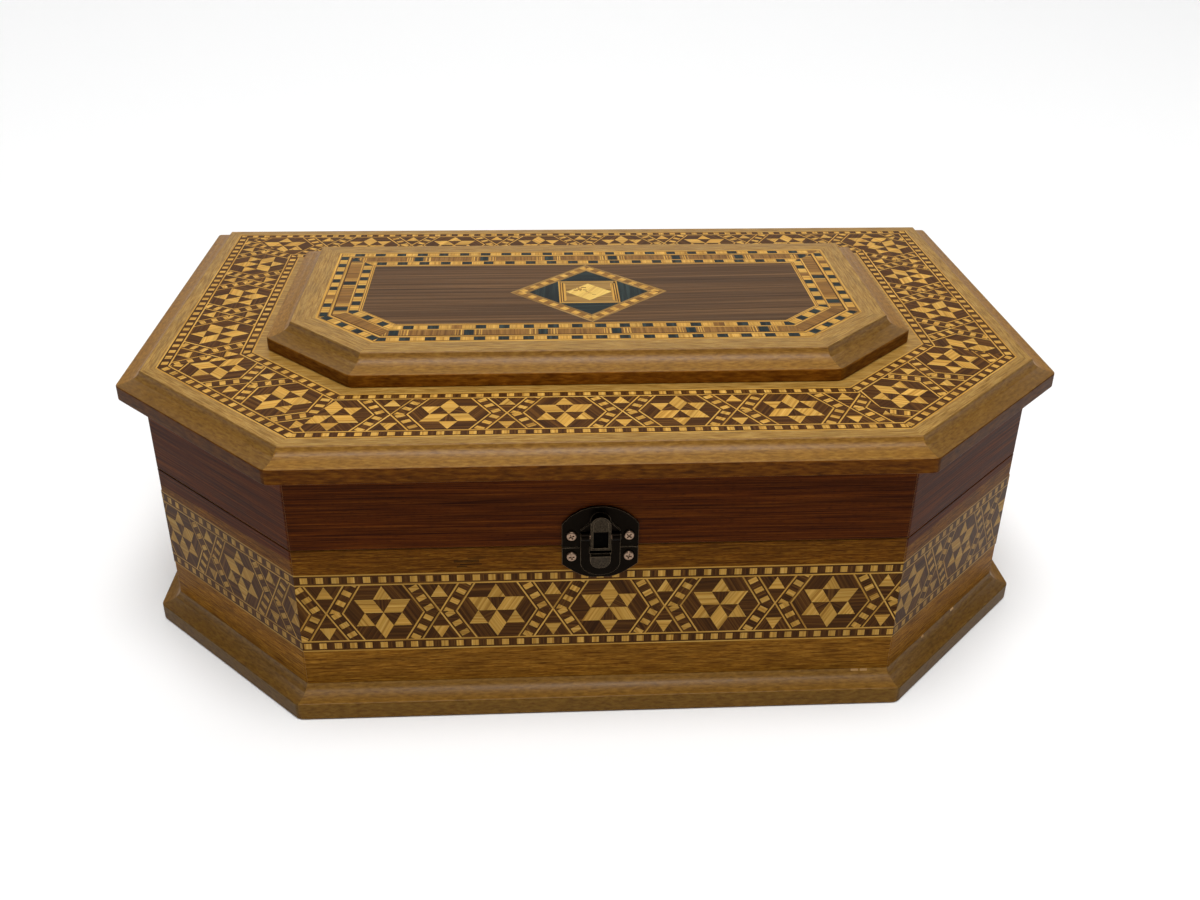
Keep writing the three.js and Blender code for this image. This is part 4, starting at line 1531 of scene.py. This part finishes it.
@dataclass
class PanelDiamond:
    """The diamond in the panel: a chequered border round a square with a pale lozenge.

    Attributes:
        square_pitch: Distance between the border's pale squares.
        square_start: Where the first pale square begins on each side.
        square_length: Side of a pale square.
        edge_row: Width of the border's outer and inner rows.
        square_row: Width of the row of squares between them.
        frame_line: Width of the line round the inner square.
        frame_width: Width of the frame round the inner square.
        pinstripe: Width of the frame's upright lines.
        fleck_slope: How far the worn places' long edges slope, as a share of their length.
        flecks: Worn places in the pale lozenge, as shares of its half width.
    """

    square_pitch: float = 5.45
    square_start: float = 2.3
    square_length: float = 2.6
    edge_row: float = 1.15
    square_row: float = 2.6
    frame_line: float = 0.5
    frame_width: float = 2.6
    pinstripe: float = 0.42
    fleck_slope: float = 0.12
    flecks: tuple[Patch, ...] = (Patch(-0.66, -0.53, 0.31, 0.48), Patch(-0.53, -0.4, 0.43, 0.6),
                                 Patch(-0.47, -0.29, 0.19, 0.37), Patch(-0.66, -0.47, 0.08, 0.19),
                                 Patch(-0.32, -0.1, 0.44, 0.54), Patch(-0.25, -0.08, 0.16, 0.25),
                                 Patch(-0.14, -0.05, 0.01, 0.08), Patch(-0.4, -0.32, 0.05, 0.14),
                                 Patch(-0.05, 0.13, -0.17, -0.12), Patch(0.13, 0.29, -0.33, -0.28))

    def build(self) -> bpy.types.Object:
        """Makes the diamond."""
        low, high = millimetres("panel_diamond")
        half = (high.x - low.x) / 2
        centre = (low + high) / 2
        points = [Vector(p) for p in ((0, -half, 0), (half, 0, 0), (0, half, 0), (-half, 0, 0))]
        bm = bmesh.new()
        squares = Mark(Veneer.PALE, self.square_start, self.square_length, self.square_pitch)
        edge = Row(self.edge_row, Veneer.TAN)
        rows = [edge, Row(self.square_row, Veneer.BROWN, 0, (squares,)), edge]
        square_corners = (math.pi / 2, math.pi / 2)
        for index, start in enumerate(points):
            run = points[(index + 1) % 4] - start
            outward = run.normalized().cross(Vector((0, 0, 1)))
            side = Side(f"diamond {index}", start, run.normalized(), outward, run.length, square_corners)
            strip = Strip(side, Lay.TOP, 0)
            absorb(bm, Stringing(strip, rows, side.name, 0.15).build(), strip.frame())
        inner = half - sum(row.width for row in rows) * math.sqrt(2)
        absorb(bm, self.heart(inner))
        bmesh.ops.translate(bm, verts=bm.verts, vec=(centre.x, centre.y, high.z))
        return make_piece("diamond_inlay_of_panel", bm, "lid", VENEER_FINISHES,
                          ["panel_diamond"], VENEER_SMOOTH)

    def heart(self, reach: float) -> bmesh.types.BMesh:
        """Makes what the border holds.

        Args:
            reach: Half the diagonal inside the border.

        Returns:
            The closed mesh, round the origin.
        """
        bm = veneer_sheet(((0, -reach, 0), (reach, 0, 0), (0, reach, 0), (-reach, 0, 0)))
        half = reach / 2
        inner = half - self.frame_width

        def size(spot: Vector) -> float:
            """Gives half the size of the level square that a place lies on."""
            return max(abs(spot.x), abs(spot.y))

        def in_frame(spot: Vector) -> bool:
            """Tells whether a place is in the frame round the inner square."""
            return inner < size(spot) < half

        def in_lozenge(spot: Vector) -> bool:
            """Tells whether a place is in the lozenge."""
            return abs(spot.x) + abs(spot.y) < inner

        for sign in (-1, 1):
            for normal in ((1, 0, 0), (0, 1, 0)):
                outwards = Vector(normal) * sign
                cut(bm, outwards * half, normal)
                for level in (half - self.frame_line, inner):
                    cut(bm, outwards * level, normal, lambda spot: size(spot) < half)
            cut(bm, (0, 0, 0), (1, sign, 0), in_frame)
            for step in range(1, 4):
                level = sign * (half - self.frame_line - step * self.pinstripe)
                cut(bm, (level, 0, 0), (1, 0, 0), lambda spot: in_frame(spot) and abs(spot.x) > abs(spot.y))
            for slope in (-1, 1):
                cut(bm, (sign * inner, 0, 0), (1, slope, 0), lambda spot: size(spot) < inner)
        for fleck in self.flecks:
            for share in (fleck.start, fleck.end):
                cut(bm, (share * inner, 0, 0), (1, 0, 0), in_lozenge)
            for share in (fleck.low, fleck.high):
                cut(bm, (0, share * inner, 0), (self.fleck_slope, 1, 0), in_lozenge)

        def tell(spot: Vector) -> Tessera:
            """Tells which tessera of the heart a place belongs to."""
            x, y = abs(spot.x), abs(spot.y)
            grain, far = (90, spot.x > 0) if x > y else (0, spot.y > 0)
            if size(spot) > half:
                return Tessera(Veneer.BLACK, grain, f"corner {'side ' if x > y else ''}{far}")
            if size(spot) > half - self.frame_line:
                return Tessera(Veneer.PALE, grain, f"line {x > y} {far}")
            if size(spot) > inner:
                if x <= y:
                    return Tessera(Veneer.TAN, 0, f"frame {spot.y > 0}")
                step = min(3, int((half - self.frame_line - x) / self.pinstripe))
                veneer = Veneer.PALE if step % 2 else Veneer.WALNUT
                return Tessera(veneer, 90, f"stripe {spot.x > 0} {step}")
            if in_lozenge(spot):
                for number, fleck in enumerate(self.flecks):
                    if fleck.holds(spot.x / inner, (spot.y + self.fleck_slope * spot.x) / inner):
                        return Tessera(Veneer.BROWN, 0, f"fleck {number}")
                return Tessera(Veneer.BLEACHED, 60, "lozenge")
            return Tessera(Veneer.TAN, 0, f"square corner {spot.x > 0} {spot.y > 0}")

        settle_tesserae(bm, tell)
        thicken(bm, VENEER_THICKNESS)
        return bm


@dataclass
class PanelField:
    """The leaf of dark veneer round the diamond.

    Attributes:
        plan: The box's outline.
        inset: The leaf's outer edge.
        joint: Width of the hairline round the diamond.
    """

    plan: Plan
    inset: float
    joint: float = 0.02

    def build(self) -> bpy.types.Object:
        """Makes the leaf with its opening for the diamond."""
        low, high = millimetres("panel_diamond")
        half = (high.x - low.x) / 2 + self.joint
        whole = bmesh.new()
        for sx in (-1, 1):
            bm = veneer_sheet(self.plan.corners(self.inset))
            cut(bm, (sx * self.joint, 0, 0), (-sx, 0, 0), clear=True)
            cut(bm, (0, 0, 0), (0, 1, 0))
            for sy in (-1, 1):
                cut(bm, (sx * half, 0, 0), (sx, sy, 0), lambda spot: spot.y * sy > 0)
            opening = [face for face in bm.faces if sum(abs(v) for v in face.calc_center_median().xy) < half]
            bmesh.ops.delete(bm, geom=opening, context="FACES")
            settle_tesserae(bm, lambda spot: Tessera(Veneer.FIELD, 0, f"field {sx}"))
            thicken(bm, VENEER_THICKNESS)
            absorb(whole, bm)
        bmesh.ops.translate(whole, verts=whole.verts, vec=(0, 0, high.z))
        return make_piece("dark_veneer_field", whole, "lid", VENEER_FINISHES,
                          ["panel_field_left", "panel_field_right"], VENEER_SMOOTH)


def softened_copy(node: str, width: float, worn_and_highlit: Callable[[Vector], bool] | None = None,
                  shape: Callable[[bmesh.types.BMesh], None] | None = None) -> bmesh.types.BMesh:
    """Copies a CAD solid and softens its edges, which are marked as worn and as painted highlight.

    Args:
        node: The CAD node.
        width: How far each edge is taken off.
        worn_and_highlit: Tells whether fingers reach a place, so that its face is worn too, and its upward
            faces get a full painted highlight.
        shape: Reshapes the copy before its edges are softened.

    Returns:
        The copy's mesh in millimetres.
    """
    bm = bmesh.new()
    bm.from_mesh(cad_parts[node].data)
    bmesh.ops.scale(bm, vec=(1 / MM, 1 / MM, 1 / MM), verts=bm.verts)
    bmesh.ops.remove_doubles(bm, verts=bm.verts, dist=0.002)
    merge_flat(bm, set())
    if shape:
        shape(bm)
    rub = bm.faces.layers.float.new(RUB_AND_PAINTED_HIGHLIGHT)
    # The softened edges are marked as worn and as painted highlight.
    sharp = [edge for edge in bm.edges if edge.calc_face_angle(0) > math.radians(35)]
    for face in round_off(bm, sharp, width, 2):
        face[rub] = 1.0
    bm.normal_update()
    # Where fingers reach, upward faces get a full painted highlight and the others a light worn tone.
    for face in bm.faces:
        if worn_and_highlit and worn_and_highlit(face.calc_center_median()) and not face.material_index:
            face[rub] = 1.0 if face.normal.z > 0.3 else max(face[rub], 0.3)
    return bm


@dataclass
class CrossScrew:
    """A pan-head screw with a cross recess, standing on a plate.

    Attributes:
        radius: Radius of the head.
        height: Height of the head.
        arm: Half the reach of the cross.
        slot: Half the width of one arm.
        depth: Depth of the cross.
        flat: Radius of the flat top, as a share of the head's.
        dome: How much each ring of the dome grows by, and how far it drops, from the flat top down.
        taper: How far the walls of the cross lean in.
    """

    radius: float = 1.65
    height: float = 0.95
    arm: float = 0.95
    slot: float = 0.24
    depth: float = 0.55
    flat: float = 0.72
    dome: tuple = ((1.22, 0.12), (1.1, 0.2), (1.03, 0.3), (1.0, 0.33))
    taper: float = 0.1

    def build(self, place: Matrix) -> bmesh.types.BMesh:
        """Models the head.

        Args:
            place: The transform from the head's own axes, with z out of the plate.

        Returns:
            The head's mesh.
        """
        bm = bmesh.new()
        bmesh.ops.create_circle(bm, cap_ends=True, segments=24, radius=self.radius * self.flat)
        bm.normal_update()
        for axis in (Vector((1, 0, 0)), Vector((0, 1, 0))):
            for sign in (-1, 1):
                cut(bm, sign * self.slot * axis, axis)
        for axis, other in ((0, 1), (1, 0)):
            for sign in (-1, 1):
                end = Vector((1 - axis, axis, 0))
                cut(bm, sign * self.arm * end, end, lambda spot: abs(spot[other]) < self.slot)
        cross = []
        for face in bm.faces:
            near, far = sorted(abs(reach) for reach in face.calc_center_median().xy)
            if near < self.slot and far < self.arm:
                cross.append(face)
        loop = [edge for edge in bm.edges if edge.is_boundary]
        for grow, drop in self.dome:
            made = bmesh.ops.extrude_edge_only(bm, edges=loop)["geom"]
            verts = corners_in(made)
            loop = [edge for edge in edges_in(made) if edge.is_boundary]
            bmesh.ops.scale(bm, vec=(grow, grow, 1), verts=verts)
            bmesh.ops.translate(bm, vec=(0, 0, -drop), verts=verts)
        bmesh.ops.edgeloop_fill(bm, edges=loop)
        bm.normal_update()
        step_in(bm, cross, self.taper, -self.depth)
        rub = bm.faces.layers.float.new(RUB_AND_PAINTED_HIGHLIGHT)
        for face in bm.faces:
            face[rub] = 1.0 if face.calc_center_median().z > -self.height else 0.0
        bmesh.ops.translate(bm, vec=(0, 0, self.height), verts=bm.verts)
        bmesh.ops.transform(bm, matrix=place, verts=bm.verts)
        return bm


@dataclass
class Fittings:
    """The latch at the front and the two hinges at the back, with their screws.

    Attributes:
        plan: The box's outline.
        edge: How far the edges of the castings are taken off.
        boss_rim: Width of the rim round the hollow in the boss.
        dish: Depth of the hollow in its upper part.
        pocket: Depth of the pocket in its lower part.
        pocket_share: How much of the hollow's height the pocket takes.
        plate: Thickness of the latch plates.
        leaf: Thickness of the hinge leaves.
        hinge_edge: How far the edges of the hinges are taken off.
        hasp_middle: The hasp's middle, along the front from the box's middle.
        worn_and_highlit_reach: How far from there fingers wear the plating, where upward faces also get a
            painted highlight.
        worn_and_highlit_proud: How far in front of the wall what they wear stands.
    """

    plan: Plan
    edge: float = 0.3
    boss_rim: float = 0.75
    dish: float = 0.22
    pocket: float = 0.5
    pocket_share: float = 0.56
    plate: float = 1.0
    leaf: float = 0.9
    hinge_edge: float = 0.15
    hasp_middle: float = -1.0
    worn_and_highlit_reach: float = 3.3
    worn_and_highlit_proud: float = 2.6

    def build(self) -> None:
        """Makes every fitting."""
        castings = {"latch_lower_plate": "case", "latch_upper_plate": "lid", "latch_hasp": "hasp"}
        for node, body in castings.items():
            shape = self.hollow_boss if node == "latch_upper_plate" else None
            bm = softened_copy(node, self.edge, self.is_worn_and_highlit, shape)
            make_piece(f"cast_{node}", bm, body, [BLACKENED_BRONZE, PAINTED_SHADE_BRONZE], [node],
                       METAL_SMOOTH)
        make_piece("turned_latch_pin", softened_copy("latch_pin", 0.2), "lid", [PLATED_SCREW],
                   ["latch_pin"], METAL_SMOOTH)
        for end in ("left", "right"):
            for half, body in (("lower", "case"), ("upper", "lid")):
                self.screw(f"latch_screw_{half}_{end}", body, -1, self.plate, PLATED_SCREW)
                self.hinge_part("rolled", f"hinge_leaf_{half}_{end}", body)
                for number in (1, 2):
                    self.screw(f"hinge_screw_{half}_{end}_{number}", body, 1, self.leaf,
                               TARNISHED_BRASS)
            self.hinge_part("turned", f"hinge_pin_{end}", "case")

    def is_worn_and_highlit(self, spot: Vector) -> bool:
        """Tells whether fingers reach a place on the latch, where it is worn and its upward faces carry
        painted highlight.
        """
        proud = spot.y < -self.plan.half_depth - self.worn_and_highlit_proud
        return proud and abs(spot.x - self.hasp_middle) < self.worn_and_highlit_reach

    def hinge_part(self, start: str, node: str, body: str) -> None:
        """Makes one leaf or pin of a hinge, whose name starts with how it was made."""
        make_piece(f"{start}_{node}", softened_copy(node, self.hinge_edge), body,
                   [TARNISHED_BRASS], [node], METAL_SMOOTH)

    def hollow_boss(self, bm: bmesh.types.BMesh) -> None:
        """Hollows the face of the boss: a shallow dish above, and a deep pocket in its lower half, painted
        near-black as painted shade.
        """
        facing = [face for face in bm.faces if face.normal.y < -0.99]
        front = min(facing, key=lambda face: face.calc_center_median().y)
        step_in(bm, [front], self.boss_rim, 0)
        levels = [vert.co.z for vert in front.verts]
        seam = min(levels) + self.pocket_share * (max(levels) - min(levels))
        made = bmesh.ops.bisect_plane(bm, geom=geometry([front]), dist=1e-4, plane_co=(0, 0, seam),
                                      plane_no=(0, 0, 1))
        dish = [part for part in made["geom"] if isinstance(part, bmesh.types.BMFace)]
        step_in(bm, dish, 0, -self.dish)
        pocket = [face for face in dish if face.calc_center_median().z < seam]
        step_in(bm, pocket, 0, self.dish - self.pocket)
        # The pocket and the faces round its corners take the painted shade.
        for corner in {vert for face in pocket for vert in face.verts}:
            for face in corner.link_faces:
                face.material_index = 1

    def screw(self, node: str, body: str, facing: int, plate: float, finish: Metal) -> None:
        """Sets one screw.

        Args:
            node: The CAD node that it stands for.
            body: The CAD body that it moves with.
            facing: -1 for the front, 1 for the back.
            plate: Thickness of what it holds.
            finish: The metal.
        """
        low, high = millimetres(node)
        middle = (low + high) / 2
        seat = facing * (self.plan.half_depth + plate)
        turn = Matrix.Rotation(math.radians(90 if facing < 0 else -90), 4, "X")
        spin = Matrix.Rotation(random.Random(node).uniform(0, math.pi / 2), 4, "Z")
        place = Matrix.Translation((middle.x, seat, middle.z)) @ turn @ spin
        make_piece(f"cross_{node}", CrossScrew().build(place), body, [finish], [node], 35)


class Softbox(NamedTuple):
    """A square light: its name, its place and target in metres, its side in metres and its power in watts."""

    name: str
    place: tuple[float, float, float]
    target: tuple[float, float, float]
    size: float
    power: float


@dataclass
class Studio:
    """The pale floor, the soft lights and the camera.

    Attributes:
        softboxes: The square lights.
        ceiling_power: Strength of the wide ceiling of lamps, which lights the whole floor evenly.
        ceiling_spread: How wide that ceiling looks from the box, in degrees.
        ceiling_tilt: How far its middle lies behind the box, in degrees.
        ambient: Strength of the light from all round.
        camera_place: The camera's place in millimetres.
        yaw: Its turn to the right of straight ahead, in radians.
        pitch: Its tilt up, in radians.
        roll: Its turn about its own axis, in radians.
        lens: Focal length in millimetres on a 36 mm wide sensor.
        floor_radius: Radius of the flat floor in metres.
        sweep: Radius of the curve at its rim in metres.
        sweep_steps: Faces up that curve.
        floor_gap: How far the floor lies under the box in metres, so that the two don't share a plane.
    """

    softboxes: tuple[Softbox, ...] = (Softbox("ceiling_softbox", (0.1, -0.3, 1.5), (0, -0.1, 0.05), 0.9, 7),
                                      Softbox("rear_softbox", (0.0, 1.9, 1.7), (0, 0, 0), 1.6, 6))
    ceiling_power: float = 2.12
    ceiling_spread: float = 35.0
    ceiling_tilt: float = 8.0
    ambient: float = 0.12
    camera_place: tuple = (-21.34, -415.46, 268.25)
    yaw: float = 0.0632
    pitch: float = -0.4994
    roll: float = 0.0133
    lens: float = 35.816
    floor_radius: float = 6.0
    sweep: float = 3.2
    sweep_steps: int = 24
    floor_gap: float = 0.0002

    def build(self) -> None:
        """Sets the studio up."""
        self.add_camera()
        self.add_floor()
        for softbox in self.softboxes:
            self.add_softbox(softbox)
        self.add_ceiling()
        world = bpy.data.worlds.new("studio")
        world.use_nodes = True
        background = world.node_tree.nodes["Background"]
        background.inputs["Color"].default_value = linear("#ffffff")
        background.inputs["Strength"].default_value = self.ambient
        bpy.context.scene.world = world
        bpy.context.scene.view_settings.view_transform = "Standard"

    def add_ceiling(self) -> None:
        """Lights the whole floor evenly from above, as a wide ceiling of lamps does."""
        data = bpy.data.lights.new("lamp_ceiling", "SUN")
        data.energy = self.ceiling_power
        data.angle = math.radians(self.ceiling_spread)
        light = bpy.data.objects.new("lamp_ceiling", data)
        light.matrix_world = Matrix.Rotation(math.radians(self.ceiling_tilt), 4, "X")
        bpy.context.collection.objects.link(light)

    def add_camera(self) -> None:
        """Places the camera at the photograph's angle."""
        forward = Vector((math.sin(self.yaw) * math.cos(self.pitch), math.cos(self.yaw) * math.cos(self.pitch),
                          math.sin(self.pitch)))
        right = Vector((math.cos(self.yaw), -math.sin(self.yaw), 0))
        up = right.cross(forward)
        level_right = right * math.cos(self.roll) + up * math.sin(self.roll)
        level_up = up * math.cos(self.roll) - right * math.sin(self.roll)
        data = bpy.data.cameras.new("camera")
        data.lens = self.lens
        data.sensor_width = 36
        data.clip_start = 0.01
        camera = bpy.data.objects.new("camera", data)
        turn = Matrix((level_right, level_up, -forward)).transposed().to_4x4()
        camera.matrix_world = Matrix.Translation(Vector(self.camera_place) * MM) @ turn
        bpy.context.collection.objects.link(camera)
        bpy.context.scene.camera = camera

    def add_floor(self) -> None:
        """Lays a round floor whose rim curves up into a low wall, so that no horizon shows from the side."""
        bm = bmesh.new()
        bmesh.ops.create_circle(bm, cap_ends=True, segments=120, radius=self.floor_radius)
        rim = [edge for edge in bm.edges if edge.is_boundary]
        reach = self.floor_radius
        level = 0.0
        for step in range(1, self.sweep_steps + 1):
            angle = math.pi / 2 * step / self.sweep_steps
            made = bmesh.ops.extrude_edge_only(bm, edges=rim)["geom"]
            verts = corners_in(made)
            rim = [edge for edge in edges_in(made) if edge.is_boundary]
            next_reach = self.floor_radius + self.sweep * math.sin(angle)
            next_level = self.sweep * (1 - math.cos(angle))
            bmesh.ops.scale(bm, vec=(next_reach / reach, next_reach / reach, 1), verts=verts)
            bmesh.ops.translate(bm, vec=(0, 0, next_level - level), verts=verts)
            reach, level = next_reach, next_level
        bmesh.ops.recalc_face_normals(bm, faces=bm.faces)
        bmesh.ops.translate(bm, verts=bm.verts, vec=(0, 0, -self.floor_gap))
        mesh = bpy.data.meshes.new("floor")
        bm.to_mesh(mesh)
        bm.free()
        floor = bpy.data.objects.new("floor", mesh)
        bpy.context.collection.objects.link(floor)
        material = bpy.data.materials.new("matt_pale_paper")
        material.use_nodes = True
        shader = material.node_tree.nodes["Principled BSDF"]
        shader.inputs["Base Color"].default_value = linear("#fafafa")
        shader.inputs["Roughness"].default_value = 0.9
        mesh.materials.append(material)

    def add_softbox(self, softbox: Softbox) -> None:
        """Hangs one softbox and points it at its target."""
        data = bpy.data.lights.new(softbox.name, "AREA")
        data.shape = "SQUARE"
        data.size = softbox.size
        data.energy = softbox.power
        light = bpy.data.objects.new(softbox.name, data)
        aim = (Vector(softbox.target) - Vector(softbox.place)).to_track_quat("-Z", "Y")
        light.matrix_world = Matrix.Translation(softbox.place) @ aim.to_matrix().to_4x4()
        bpy.context.collection.objects.link(light)


def main() -> None:
    """Builds the studio and every piece of the box."""
    logging.basicConfig(level=logging.INFO, format="%(message)s")
    plan = Plan(millimetres("case_wall_right")[1].x, millimetres("case_wall_back")[1].y)
    Studio().build()
    MouldedBoard(plan, "base_moulded_board", "base_board", "case", edge_band=6.2, cove_width=6.5, seed=1,
                 band_finish=SHADED_BASE_EDGE, top_finish=SEALED_INSIDE, cove_finish=SHADED_BASE_COVE,
                 knocks={0: [(182.4, 184.9), (185.6, 188.0)], 1: [(23.6, 25.2), (45.2, 47.6)]}).build()
    MouldedBoard(plan, "lid_moulded_board", "lid_board", "lid", edge_band=5.2, cove_width=7.5, seed=2,
                 band_finish=STAINED_AND_SHADED_LID_EDGE, top_finish=GOLDEN_VENEER, recess=(5.0, 35.0)).build()
    MouldedBoard(plan, "panel_moulded_board", "panel_board", "lid", edge_band=4.5, cove_width=7.9, seed=3,
                 band_finish=PANEL_EDGE, top_finish=GOLDEN_VENEER, recess=(55.6, 0)).build()
    low, high = millimetres("case_band_front")
    smears = [Patch(50.4, 58.4, 56.5, 57.5), Patch(52.4, 59.2, 55.5, 56.1), Patch(51.3, 54.6, 54.7, 55.2),
              Patch(54.8, 60.6, 57.9, 58.3)]
    WallRing(plan, "case_wall", "case", "golden_wood", CASE_VENEER, seed=1,
             inset_belt=(low.z - FIT_GAP, high.z + FIT_GAP), stains={"front": smears},
             dark_above={"front_left": (55.5, 58.3), "front_right": (58.4, 59.0)}).build()
    WallRing(plan, "lid_wall", "lid", "red_wood", RED_BOARD, seed=2).build()
    StarBands(plan).build()
    PanelInlay(plan, inset=55.63, level=millimetres("panel_inlay")[1].z).build()
    PanelField(plan, inset=71.2).build()
    PanelDiamond().build()
    Fittings(plan).build()


if __name__ == "__main__":
    main()
